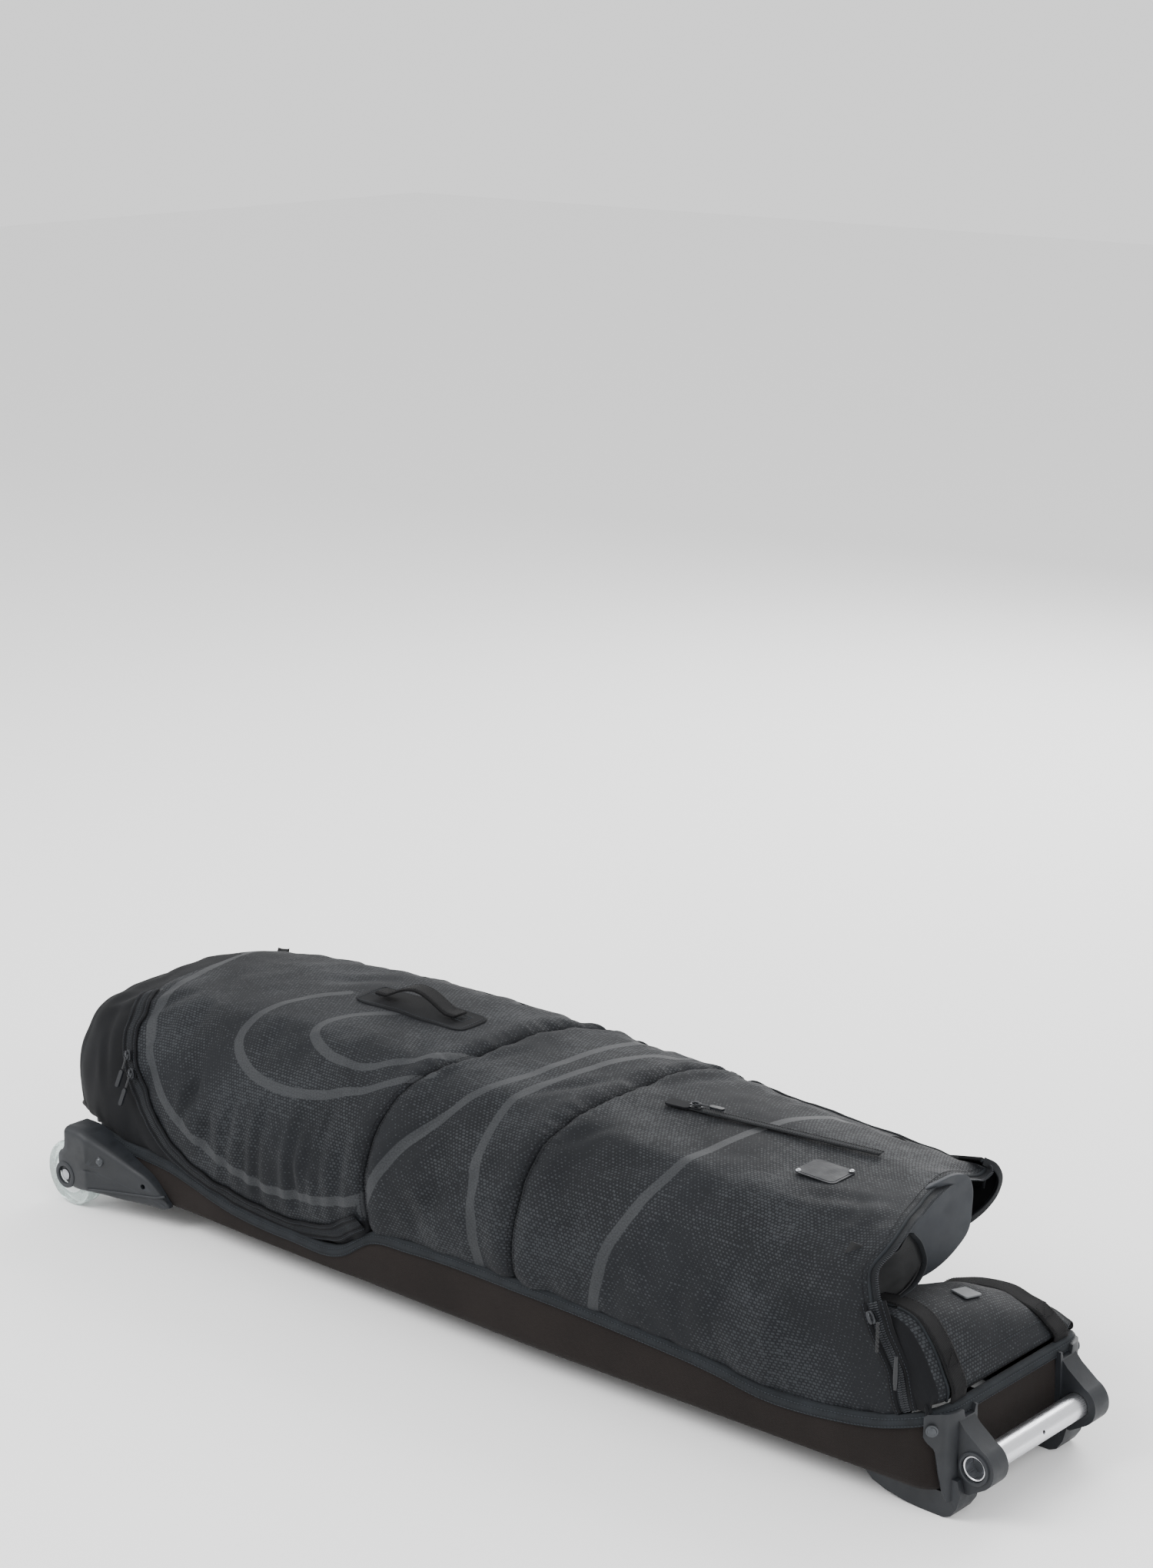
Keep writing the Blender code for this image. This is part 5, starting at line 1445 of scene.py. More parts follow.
def makeHousings():
    line = smoothLine(housing["outline"] + housing["outline"][:1], 110)[:-1]
    for side, name in ((-1, "near"), (1, "far")):
        levels = [(0.0, 0.0), (0.30, 0.0), (0.72, 0.0), (0.86, 0.0009), (0.95, 0.0028), (1.0, 0.0060)]
        centre = line.mean(axis=0)
        normal = np.roll(line, -1, axis=0) - np.roll(line, 1, axis=0)
        normal = unit(np.stack([normal[:, 1], -normal[:, 0]], axis=1))
        if (normal * (line - centre)).sum() < 0:
            normal = -normal
        work = bmesh.new()
        rings = []
        for share, inset in levels:
            ring = []
            for x, z in line - normal * inset:
                y = housing["inner"] + (outsideY(x) - housing["inner"]) * share
                ring.append(work.verts.new((x, side * y, z)))
            rings.append(ring)
        for low, high in zip(rings, rings[1:]):
            bridgeRings(work, low, high)
        work.faces.new(rings[0][::-1])
        edge = line - normal * levels[-1][1]
        middle = np.array(housing["middle"])
        for share in (0.86, 0.70, 0.52, 0.34, 0.16):
            ring = []
            for p in middle + (edge - middle) * share:
                ring.append(work.verts.new((p[0], side * outsideY(p[0]), p[1])))
            bridgeRings(work, rings[-1], ring)
            rings.append(ring)
        work.faces.new(rings[-1])
        body = finishBmesh(name + "Housing", work, mats["moulded"], angle=32)
        low, high = sorted((side * housing["pocketLow"], side * housing["pocketHigh"]))
        axle = wheelSettings["axle"]
        combine(body, cylinder("pocket", axle, housing["pocket"], low, high), "DIFFERENCE")
        under = bmesh.new()
        reach, top = housing["pocket"], axle[1] - 0.012
        slab(under, [(axle[0] - reach, 0), (axle[0] + reach, 0), (axle[0] + reach, top), (axle[0] - reach, top)],
             low, high)
        combine(body, finishBmesh("under", under, mats["moulded"]), "DIFFERENCE")
        outer = sorted((side * 0.1885, side * 0.20))
        combine(body, cylinder("recess", axle, 0.0112, *outer), "DIFFERENCE")
        x, z = housing["hole"]
        deep = sorted((side * (outsideY(x) - 0.006), side * 0.20))
        combine(body, cylinder("hole", (x, z), 0.0034, *deep, 24), "DIFFERENCE")
        body.data.set_sharp_from_angle(angle=math.radians(32))
        softenEdges(body, 0.0009, 2, 50)
        # a raised ring round the axle, a thin lip along the lower edge and a step behind the rivet
        ring = [(0.0112, 0.1890), (0.0118, 0.1921), (0.0150, 0.1926), (0.0172, 0.1917), (0.0176, 0.1890)]
        ring = lathe(name + "Ring", [(r, side * y) for r, y in ring], (axle[0], 0, axle[1]), mats["moulded"], 64)
        lip = []
        for x in np.linspace(-0.598, -0.484, 26):
            z = float(np.interp(x, [-0.60, -0.50, -0.484], [0.0330, 0.0415, 0.046]))
            lip.append((x, side * (outsideY(x) + 0.0002), z))
        lip = tube(name + "Lip", lip, 0.0016, mats["moulded"], 8)
        bolt = [(0.0, 0.1920), (0.0040, 0.1917), (0.0066, 0.1905), (0.0070, 0.1885), (0.0070, 0.1870)]
        bolt = lathe(name + "Bolt", [(r, side * y) for r, y in bolt], (axle[0], 0, axle[1]), mats["steel"], 40)
        trim = join(name + "HousingTrim", [ring, lip])
        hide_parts("wheel_housing_" + name)
        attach(body, "base")
        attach(trim, "base")
        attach(bolt, "base")
        x, z = housing["rivet"]
        y = outsideY(x) - 0.0012
        head = [(0.0, y + 0.0042), (0.0022, y + 0.0039), (0.0040, y + 0.0029), (0.0047, y + 0.0016),
                (0.0062, y + 0.0014), (0.0068, y - 0.0008), (0.0068, y - 0.002)]
        rivet = lathe(name + "HousingRivet", [(r, side * h) for r, h in head], (x, 0, z), mats["blackRivet"], 40)
        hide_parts("housing_rivet_" + name)
        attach(rivet, "base")
    print("housings made")


bracket = {"offset": 0.0022, "inner": 0.076, "ear": (0.676, 0.061, 0.0235),
           "earLow": 0.080, "earHigh": 0.1066}


def bracketShell(side):
    # wraps the tub's front corner: along the side, round the corner and across the front
    corner, front = tub["corner"], tub["front"]
    wide = float(halfWidth(front))
    path = arcPoints((front - corner, -wide + corner), corner, -64, 0, 22)
    path += [(front, y) for y in np.linspace(-wide + corner, -bracket["inner"], 9)[1:]]
    path = np.array(path)
    way = unit(np.gradient(path, axis=0))
    out = np.stack([way[:, 1], -way[:, 0]], axis=1)
    run = runAlong(path)
    total = run[-1]
    rings = []
    for k in range(len(path)):
        share = run[k] / total
        top = float(np.interp(share, [0, 0.06, 0.50, 0.62, 0.65, 0.93, 0.95, 1.0],
                              [0.1130, 0.1165, 0.1175, 0.1175, 0.1085, 0.1085, 0.1165, 0.1165]))
        foot = float(np.interp(share, [0, 0.04, 0.17, 0.24, 0.34, 1.0], [0.092, 0.087, 0.078, 0.048, 0.0210, 0.0210]))
        flange = float(np.interp(share, [0, 0.27, 0.33, 1.0], [0.0028, 0.0034, 0.0058, 0.0062]))
        near = path[k] + out[k] * bracket["offset"]
        rings.append([(near, foot), (near, top), (flange, top), (flange, foot), out[k]])
    work = bmesh.new()
    rows = []
    for near, (_, top), (flange, _), (_, foot), way2 in rings:
        point = near[0]
        outer = point + way2 * flange
        base = float(near[1])
        corners = [(point[0], point[1], base), (point[0], point[1], top), (outer[0], outer[1], top - 0.0006),
                   (outer[0] + way2[0] * 0.0006, outer[1] + way2[1] * 0.0006, (top + foot) / 2),
                   (outer[0] + way2[0] * 0.0016, outer[1] + way2[1] * 0.0016, foot)]
        rows.append([work.verts.new((c[0], c[1] * -side, c[2])) for c in corners])
    for a, b in zip(rows, rows[1:]):
        bridgeRings(work, a, b)
    work.faces.new(rows[0])
    work.faces.new(rows[-1][::-1])
    return finishBmesh("bracketShell", work, mats["moulded"], angle=35)


def makeBrackets():
    for side, name in ((-1, "near"), (1, "far")):
        body = bracketShell(side)
        x, z, radius = bracket["ear"]
        low, high = sorted((side * bracket["earLow"], side * bracket["earHigh"]))
        ear = bmesh.new()
        outline = [(0.6505, 0.030), (0.6505, 0.1085), (0.6560, 0.1075), (0.664, 0.0985)]
        outline += arcPoints((x, z), radius, 68, -62, 16)
        outline += [(0.6700, 0.0300)]
        slab(ear, outline, low, high)
        combine(body, finishBmesh("ear", ear, mats["moulded"]), "UNION")
        skid = bmesh.new()
        outline = [(0.546, 0.0276), (0.549, 0.0190), (0.558, 0.0115), (0.575, 0.0055), (0.598, 0.0016),
                   (0.618, 0.0), (0.646, 0.0), (0.655, 0.0040), (0.662, 0.0150), (0.666, 0.0300),
                   (0.662, 0.0450), (0.6525, 0.0450), (0.6525, 0.0276)]
        slab(skid, outline, *sorted((side * 0.079, side * 0.1145)))
        combine(body, finishBmesh("skid", skid, mats["moulded"]), "UNION")
        bore = cylinder("bore", (x, z), 0.0141, low - 0.005, high + 0.005, 48)
        combine(body, bore, "DIFFERENCE")
        body.name = name + "Bracket"
        body.data.set_sharp_from_angle(angle=math.radians(35))
        softenEdges(body, 0.0013, 3, 40)
        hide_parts("bracket_" + name)
        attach(body, "base")
        # raised collar round the tube's end
        collar = [(0.0142, 0.1050), (0.0145, 0.1088), (0.0160, 0.1093), (0.0180, 0.1086), (0.0186, 0.1050)]
        collar = lathe(name + "Collar", [(r, side * y) for r, y in collar], (x, 0, z), mats["moulded"], 56)
        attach(collar, "base")
        low, high = boxOf("bracket_rivet_" + name)
        middle = (low + high) / 2
        turn = math.radians(-52)
        outward = np.array((math.cos(turn), math.sin(turn) * -side, 0.0))
        aside = unit(np.cross(outward, up))
        place = (np.array((middle[0], middle[1], 0.100)) - outward * 0.0012, aside, up, outward)
        head = []
        for radius, level in ((0.0066, 0.0), (0.0064, 0.0016), (0.0050, 0.0020), (0.0044, 0.0034), (0.0026, 0.0043),
                              (0.0, 0.0046)):
            head.append((radius, level))
        rivet = turned(name + "BracketRivet", head, place, mats["blackRivet"])
        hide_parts("bracket_rivet_" + name)
        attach(rivet, "base")
    low, high = boxOf("grab_tube")
    half = high[1]
    x, z, _ = bracket["ear"]
    profile = [(0.0115, -half + 0.002), (0.0115, -half + 0.0006), (0.0121, -half), (0.0130, -half),
               (0.0135, -half + 0.0006), (0.0135, half - 0.0006), (0.0130, half), (0.0121, half),
               (0.0115, half - 0.0006), (0.0115, half - 0.002), (0.0115, -half + 0.002)]
    bar = lathe("grabTube", profile, (x, 0, z), mats["aluminium"], 72)
    plug = cylinder("tubeHole", (x + 0.0125, z + 0.004), 0.0021, -0.0021, 0.0021, 20)
    plug.data.transform(quarterTurn((x + 0.0125, 0.0, z + 0.004)))
    combine(bar, plug, "DIFFERENCE")
    bar.data.set_sharp_from_angle(angle=math.radians(30))
    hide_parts("grab_tube")
    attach(bar, "base")
    caps = []
    for side in (-1, 1):
        cap = [(0.0, side * (half - 0.016)), (0.0114, side * (half - 0.016)), (0.0114, side * (half - 0.0155)),
               (0.0, side * (half - 0.0155))]
        caps.append(lathe("boreEnd", cap, (x, 0, z), mats["blackRivet"], 40))
    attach(join("boreEnds", caps), "base")
    print("brackets made")


def quarterTurn(centre):
    centre = Vector(centre)
    return Matrix.Translation(centre) @ Matrix.Rotation(math.radians(90), 4, "Z") @ Matrix.Translation(-centre)


def turned(name, profile, place, material, sides=40):
    # a small turned head standing on a place
    centre, along, across, outward = place
    work = bmesh.new()
    rings = []
    for radius, level in profile:
        ring = []
        for t in np.arange(sides) * 2 * math.pi / sides:
            way = along * math.cos(t) + across * math.sin(t)
            ring.append(work.verts.new(centre + way * max(radius, 1e-5) + outward * level))
        rings.append(ring)
    for a, b in zip(rings, rings[1:]):
        bridgeRings(work, a, b)
    work.faces.new(rings[0])
    work.faces.new(rings[-1])
    return finishBmesh(name, work, material, angle=35)


# zips
def makeZips(x, s, grid, uv):
    dense = smoothLine([(px * 10, ps) for px, ps in lid["pocketZip"]], 160)
    points, outs = lidAt([(a / 10, b) for a, b in dense], x, grid)
    chain = zipChain("pocketZipChain", points + outs * 0.0022, outs, 0.015, 0.0021, 0.0018)
    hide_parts("pocket_zip")
    foldWithLid(chain)
    # plackets of plain cloth at both sides of the pocket zip
    across = acrossOf(points, outs)
    sewn = []
    for side in (-1, 1):
        line = points + across * (side * 0.0088) + outs * 0.0022
        sewn.append(ribbon("pocketPlacket", line, outs, 0.0054, 0.0020, mats["plain"], 0.25, 0.0))
        sewn.append(stitchRow("pocketSewing", line + outs * 0.0024, outs, 0.0034, 0.0025))
    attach(join("pocketPlackets", sewn), "lid")
    # the open edge: tape and one column of coil from the far edge round the mouth to the front
    mouthS = np.linspace(9.6, 2.35, 110)
    points, outs = lidAt([(float(table("mouth", v)), v) for v in mouthS], x, grid)
    across = acrossOf(points, outs)
    across *= np.where(across[:, :1] < 0, -1, 1)
    edge = ribbon("mouthTape", points + across * 0.0040 - outs * 0.003, outs, 0.0105, 0.0013, mats["zipTape"])
    teeth = placeAlong("mouthTeeth", points + across * 0.0090 - outs * 0.0024, outs, loop, 0.0022, 0.0014, 0.00004,
                       5, mats["coil"])
    piping = tube("mouthPiping", points + across * 0.0004 - outs * 0.0012, 0.0018, mats["binding"], 8)
    sewn = stitchRow("mouthSewing", points - across * 0.0070 + outs * 0.0005, outs, 0.0036, 0.0025,
                     mats["darkThread"])
    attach(join("mouthZip", [edge, teeth, piping, sewn]), "lid")
    # seams with a row of stitches each side
    rows = []
    for name in ("handleSeam", "middleSeam"):
        for shift in (-0.0055, 0.0055):
            ss = np.linspace(0.5, 9.6, 110)
            line, outs = lidAt([(float(table(name, v)) + shift, v) for v in ss], x, grid)
            rows.append(stitchRow("seamSewing", line + outs * 0.0004, outs, 0.0036, 0.0024, mats["darkThread"]))
    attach(join("lidSewing", rows), "lid")
    # closed zip near the front edge
    ss = np.linspace(2.35, 0.35, 70)
    path, outs = lidAt([(float(table("mouth", v)) - 0.003, v) for v in ss], x, grid)
    across = acrossOf(path, outs)
    across *= np.where(across[:, :1] < 0, -1, 1)
    path = path + across * 0.0060 + outs * 0.0004
    chain = zipChain("frontChain", path, outs, 0.020, 0.0024, 0.0026, 0.0006)
    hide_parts("front_zip_chain")
    foldWithLid(chain)
    flaps = []
    for side in (-1, 1):
        line = path + across * side * 0.0105 + outs * 0.0006
        flaps.append(ribbon("frontPlacket", line, outs, 0.0075, 0.0024, mats["plain"], 0.30))
        flaps.append(stitchRow("frontPlacketSewing", line + outs * 0.0030, outs, 0.0036, 0.0026))
    foldWithLid(join("frontPlackets", flaps))
    # short top zip and its garage
    start, end = np.array((0.190, 0.030, 0.2830)), np.array((0.426, 0.070, 0.2790))
    path = start + (end - start) * np.linspace(0, 1, 90)[:, None]
    _, outs = lidAt([(p[0], 6.4) for p in path], x, grid)
    skin, _ = lidAt([(p[0], sAtY(p[0], p[1], x, s, grid)) for p in path], x, grid)
    path[:, 2] = np.maximum(path[:, 2] - 0.0012, skin[:, 2] + 0.0003)
    path = smoothLine(path, 90)
    chain = zipChain("topChain", path, outs, 0.0125, 0.0018, 0.0012, 0.0)
    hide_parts("top_zip")
    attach(chain, "lid")
    along = unit(end - start)
    place = framed(path[0] - along * 0.012 + np.array((0, 0, 0.0006)), along, np.cross(outs[0], along))
    cover = shapeAt("topGarage", place, roundedOutline(0.032, 0.019, 0.006), 0.0, 0.0024, mats["plain"], 0.0008)
    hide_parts("top_zip_garage")
    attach(cover, "lid")
    # the closed zip round the rear end
    ss = np.linspace(0.9, 9.9, 190)
    path, _ = lidAt([(lid["rearEnd"], v) for v in ss], x, grid)
    outs = np.broadcast_to(np.array((-0.93, -0.10, 0.35)), path.shape)
    chain = zipChain("rearChain", path + np.array((-0.0008, 0, -0.0062)), outs, 0.0125, 0.0022, 0.0016)
    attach(chain, "lid")
    ss = np.linspace(-0.640, 0.498, 260)
    line, outs = lidAt([(float(a), 10.0) for a in ss], x, grid)
    outward = np.broadcast_to(np.array((0.0, 0.93, -0.35)), line.shape)
    tape = ribbon("lidTape", line + np.array((0, 0.0012, -0.0045)), outward, 0.012, 0.0013, mats["zipTape"])
    teeth = placeAlong("lidTeeth", line + np.array((0, 0.0036, -0.0110)), outward, loop, 0.0023, 0.0014, 0.00004,
                       7, mats["coil"])
    half = join("lidHalfFar", [tape, teeth])
    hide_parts("zip_lid_half")
    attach(half, "lid")
    lower = ribbon("baseTape", line[8:] + np.array((0, 0.0010, -0.0190)), outward[8:], 0.010, 0.0013,
                   mats["zipTape"])
    under = ribbon("baseTape", path[:170] + np.array((0.0026, 0, -0.0150)), outs[:170], 0.008, 0.0013,
                   mats["zipTape"])
    half = join("baseHalf", [lower, under])
    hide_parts("zip_base_half")
    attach(half, "base")
    print("zips made")


def sAtY(px, y, x, s, grid):
    # where the profile at px reaches y on the upper part
    column = int(np.argmin(np.abs(x[:, x.shape[1] // 2] - px)))
    ys = grid[column, 40:, 1]
    return float(np.interp(y, ys, s[column, 40:]))


# sliders, pulls and the handle
def sliderBody(name, centre, along, outward, size=(0.0135, 0.0098, 0.0050)):
    along = unit(np.asarray(along, float))
    outward = unit(np.asarray(outward, float))
    across = np.cross(outward, along)
    place = (np.asarray(centre, float), along, across, outward)
    a, b, c = size
    outline = [(-a / 2, -b * 0.36), (-a * 0.1, -b / 2), (a * 0.30, -b / 2), (a / 2, -b * 0.30), (a / 2, -b * 0.08),
               (a * 0.34, 0), (a / 2, b * 0.08), (a / 2, b * 0.30), (a * 0.30, b / 2), (-a * 0.1, b / 2),
               (-a / 2, b * 0.36)]
    lower = shapeAt(name, place, outline, -c * 0.5, -c * 0.28, mats["slider"], 0.0004)
    upper = shapeAt(name, place, outline, c * 0.10, c * 0.38, mats["slider"], 0.0005)
    post = shapeAt(name, place, roundedOutline(a * 0.25, b * 0.2, b * 0.08), -c * 0.3, c * 0.15, mats["slider"], 0)
    bridge = [place[0] + along * (a * t) + outward * (c * (0.32 + 0.50 * math.sin(math.pi * (t + 0.36) / 0.72)))
              for t in np.linspace(-0.36, 0.36, 13)]
    bridge = tube(name, bridge, 0.00125, mats["slider"], 8)
    return join(name, [lower, upper, post, bridge])


def ringOf(name, centre, radius, thick, plane1, plane2, material):
    turns = np.linspace(0, 2 * math.pi, 29)
    path = [np.asarray(centre) + radius * (math.cos(t) * unit(np.asarray(plane1, float))
                                          + math.sin(t) * unit(np.asarray(plane2, float))) for t in turns]
    return tube(name, path, thick, material, 8)


def makeSliders():
    pocketAlong, pocketOut = (-0.55947, 0.2971, 0.77377), (-0.05912, -0.90486, 0.42158)
    sliders = {
        "front": ("front_slider", "front_zip_slider", (0.47059, 0, -0.88235), (0, -1, 0)),
        "rear": ("rear_slider", "rear_zip_slider", (0, 0.92064, 0.39042), (-1, 0, 0)),
        "top": ("top_slider", "top_zip_slider", (0.9858, 0.16708, -0.01671), (0, 0, 1)),
        "upperPocket": ("pocket_upper_slider", "upper_pocket_slider", pocketAlong, pocketOut),
        "lowerPocket": ("pocket_lower_slider", "lower_pocket_slider", pocketAlong, pocketOut),
    }
    for name, (node, body, along, outward) in sliders.items():
        low, high = boxOf(node)
        centre = (low + high) / 2 + np.asarray(outward) * (-0.0045 if name == "front" else 0.0010)
        piece = sliderBody(name + "Slider", centre, along, outward)
        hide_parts(node)
        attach(piece, body)
    # long flat pulls on the pocket and top zips
    pulls = {
        "upperPocketPull": ("pocket_upper_pull", "upper_pocket_pull", (-0.55413, -0.15481, 0.21214), pocketOut),
        "lowerPocketPull": ("pocket_lower_pull", "lower_pocket_pull", (-0.54053, -0.16203, 0.19333), pocketOut),
        "topPull": ("top_pull", "top_zip_pull", (0.19986, 0.03167, 0.28863), (0, 0, 1)),
        "rearPull": ("rear_pull", "rear_zip_pull", (-0.6978, -0.0852, 0.11158), (-1, 0, 0)),
    }
    for name, (node, body, pivot, outward) in pulls.items():
        low, high = boxOf(node)
        pivot = np.array(pivot)
        centre = (low + high) / 2
        tip = pivot + (centre - pivot) * 1.92
        along = unit(tip - pivot)
        outward = np.array(outward, float)
        outward = unit(outward - along * float(outward @ along))
        across = np.cross(outward, along)
        length = float(np.linalg.norm(tip - pivot))
        hook = ringOf(name, pivot + along * 0.0022, 0.0030, 0.0008, along, across, mats["slider"])
        cordLine = [pivot + along * (0.0048 + (length * 0.34) * t) + outward * 0.0002
                    for t in np.linspace(0, 1, 9)]
        cordPiece = tube(name, cordLine, 0.0013, mats["cord"], 8)
        place = (pivot + along * (0.0048 + length * 0.66), along, across, outward)
        grip = shapeAt(name, place, roundedOutline(length * 0.56, 0.0066, 0.0030), -0.0014, 0.0014, mats["gloss"],
                       0.0009)
        piece = join(name, [hook, cordPiece, grip])
        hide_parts(node)
        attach(piece, body)


handleSettings = {"centre": (-0.241, 0.044), "half": 0.065, "patch": (0.183, 0.058), "grid": (50, 18)}


def leanHandle(piece):
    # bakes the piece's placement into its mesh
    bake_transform(piece)


def makeHandle(x, s, grid):
    cx, cy = handleSettings["centre"]
    # sunk patch with stitched edges
    long, wide = handleSettings["patch"]
    counts = handleSettings["grid"]
    us, vs = [np.linspace(-side / 2, side / 2, count) for side, count in zip((long, wide), counts)]
    rows = []
    for u in us:
        row = []
        for v in vs:
            ss = sAtY(cx + u, cy + v, x, s, grid)
            point, _ = lidAt([(cx + u, ss)], x, grid)
            row.append(point[0])
        rows.append(row)
    patch = np.array(rows)
    patch[..., 2] = smoothField(patch[..., 2:3], 6)[..., 0] + 0.0014
    corner = (np.abs(us)[:, None] / (long / 2)) ** 6 + (np.abs(vs)[None] / (wide / 2)) ** 6
    shrink = np.minimum(1.0, 1.0 / np.maximum(corner, 1e-6) ** (1 / 6.0))
    patch[..., 0] = cx + (patch[..., 0] - cx) * shrink
    patch[..., 1] = cy + (patch[..., 1] - cy) * shrink
    under = patch - np.array((0, 0, 0.0045))
    places = np.stack(np.meshgrid(us, vs, indexing="ij"), axis=-1)
    piece = layeredCloth("handleBase", patch, under, places, mats["plain"])
    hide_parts("handle_patch")
    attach(piece, "lid")
    rows = []
    ring = [patch[i, 1] for i in range(1, 49)] + [patch[48, j] for j in range(2, 17)]
    ring += [patch[i, 16] for i in range(47, 0, -1)] + [patch[1, j] for j in range(15, 0, -1)]
    ring = np.array(ring)
    ring[:, :2] = ring[:, :2] * 0.98 + np.array((cx, cy)) * 0.02
    ring[:, 2] += 0.0006
    outs = np.broadcast_to(up, ring.shape)
    rows.append(stitchRow("handleSewing", ring, outs, 0.0036, 0.0026))
    for side in (-1, 1):
        at = np.array((cx + side * (handleSettings["half"] + 0.006), cy, 0.0))
        ss = sAtY(at[0], at[1], x, s, grid)
        top = lidAt([(at[0], ss)], x, grid)[0][0][2] + 0.0050
        box = [(-0.011, -0.009), (0.007, -0.009), (0.007, 0.009), (-0.011, 0.009), (-0.011, -0.009), (0.007, 0.009)]
        rows.append(stitchBox("handleBox", [(at[0] + a * side, at[1] + b, top) for a, b in box], up))
    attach(join("handleBaseSewing", rows), "lid")
    # the strap itself: flat ends, a low arch between
    low, high = boxOf("carry_handle")
    base = low[2] + 0.0004
    half = (high[0] - low[0]) / 2
    xs = np.linspace(-half + 0.001, half - 0.001, 70)
    flatEnd = 0.016
    share = np.clip((half - np.abs(xs) - flatEnd) / (half - flatEnd), 0, 1)
    arch = np.sin(share * math.pi / 2) ** 1.25
    zs = base - 0.0014 + (high[2] - base - 0.0075) * arch
    line = np.column_stack([cx + xs, np.full(70, cy), zs])
    slope = np.gradient(zs, xs)
    outs = unit(np.column_stack([-slope, np.zeros(70), np.ones(70)]))
    strap = ribbon("handleStrap", line, outs, high[1] - low[1] - 0.0008, 0.0026, mats["webbing"], 0.12)
    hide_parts("carry_handle")
    leanHandle(strap)
    edge = []
    for side in (-1, 1):
        run = line + outs * 0.0030 + np.array((0, side * ((high[1] - low[1]) / 2 - 0.0030), 0))
        edge.append(stitchRow("handleEdge", run, outs, 0.0034, 0.0024, mats["darkThread"]))
    leanHandle(join("handleStrapSewing", edge))
    print("handle made")


def makePlate():
    low, high = boxOf("name_plate")
    centre = (low + high) / 2
    place = framed((centre[0], centre[1], low[2]), (1, 0.02, -0.03), (0, 1, 0))
    tall = float(high[2] - low[2])
    plate = shapeAt("blankPlate", place, roundedOutline(0.053, 0.045, 0.007), 0.0, tall * 0.62,
                    mats["rubber"], 0.0012)
    step = shapeAt("blankPlateStep", place, roundedOutline(0.047, 0.039, 0.005), tall * 0.55, tall * 0.82,
                   mats["rubber"], 0.0007)
    joined = join("blankPlate", [plate, step])
    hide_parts("name_plate")
    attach(joined, "lid")
    for name in ("front", "rear"):
        low, high = boxOf("plate_stud_" + name)
        middle = (low + high) / 2
        radius = float(high[0] - low[0]) / 2
        head = [(0.0, high[2]), (radius * 0.5, high[2] - 0.0003), (radius * 0.85, high[2] - 0.0011),
                (radius, high[2] - 0.0022), (radius, low[2])]
        stud = lathe(name + "Stud", head, (middle[0], middle[1], 0), mats["steel"], 32, axis=2)
        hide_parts("plate_stud_" + name)
        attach(stud, "lid")


def makeFrontPull():
    # a twisted cord from the slider with a smooth capsule grip
    low, high = boxOf("front_pull_cord")
    start = np.array(((low[0] + high[0]) / 2, (low[1] + high[1]) / 2 + 0.0035, high[2]))
    length = float(high[2] - low[2])
    made = []
    for phase in (0, math.pi):
        path = [start + np.array((0.00095 * math.cos(t * 20 + phase), 0.00095 * math.sin(t * 20 + phase),
                                  -length * t * 1.02)) for t in np.linspace(0, 1, 48)]
        made.append(tube("pullStrand", path, 0.00105, mats["cord"], 8))
    twist = join("frontPullCord", made)
    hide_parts("front_pull_cord")
    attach(twist, "front_zip_pull")
    low, high = boxOf("front_pull_grip")
    middle = (low + high) / 2 + np.array((0, 0.0035, 0))
    tall = float(high[2] - low[2])
    wide = float(min(high[0] - low[0], high[1] - low[1])) / 2
    profile = [(0.0, tall / 2), (wide * 0.55, tall / 2 - 0.0004), (wide * 0.70, tall / 2 - 0.002),
               (wide * 0.74, tall * 0.30), (wide * 0.92, tall * 0.12), (wide * 0.98, -tall * 0.1),
               (wide * 0.90, -tall * 0.30), (wide * 0.70, -tall / 2 + 0.003), (wide * 0.62, -tall / 2 + 0.0006),
               (0.0, -tall / 2)]
    grip = lathe("frontPullGrip", profile, middle, mats["gloss"], 36, axis=2, angle=60)
    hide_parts("front_pull_grip")
    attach(grip, "front_zip_pull")


# the smooth sheet that stands inside the mouth, as (y, z) round its edge
divider = {
    "outline": [(-0.060, 0.240), (-0.035, 0.262), (0.005, 0.273), (0.045, 0.2785), (0.074, 0.2790),
                (0.092, 0.2720), (0.1010, 0.2560), (0.1010, 0.2350), (0.0970, 0.2120), (0.0780, 0.1940),
                (0.0500, 0.1760), (0.0200, 0.1690), (-0.030, 0.1700), (-0.060, 0.1820), (-0.068, 0.2100),
                (-0.060, 0.240)],
    "centre": (0.020, 0.226), "rings": (1.0, 0.985, 0.94, 0.86, 0.74, 0.58, 0.40, 0.22, 0.06), "thick": 0.006,
}


def sheetGrid():
    # rings shrinking to its middle
    ring = smoothLine(divider["outline"], 97)[:-1]
    centre = np.array(divider["centre"])
    rows = []
    for share in divider["rings"]:
        flat = centre + (ring - centre) * share
        bow = 0.030 * ((flat[:, 0] - 0.10) / 0.15) ** 2 + 0.008 * (1 - share ** 2)
        xs = 0.524 - bow - 0.010 * np.clip((0.21 - flat[:, 1]) / 0.04, 0, 1) ** 2
        rows.append(np.column_stack([xs, flat]))
    return np.array(rows)


def makeSheet():
    front = sheetGrid()
    depth = np.array((divider["thick"], 0, 0))
    back = front[::-1] - depth
    grid = np.concatenate([front[::-1], front[:1] - depth / 2, back[::-1]])
    piece = makeMesh("dividerSheet", grid.reshape(-1, 3), tubeFaces(*grid.shape[:2]), mats["foam"])
    faceOut(piece)
    return piece


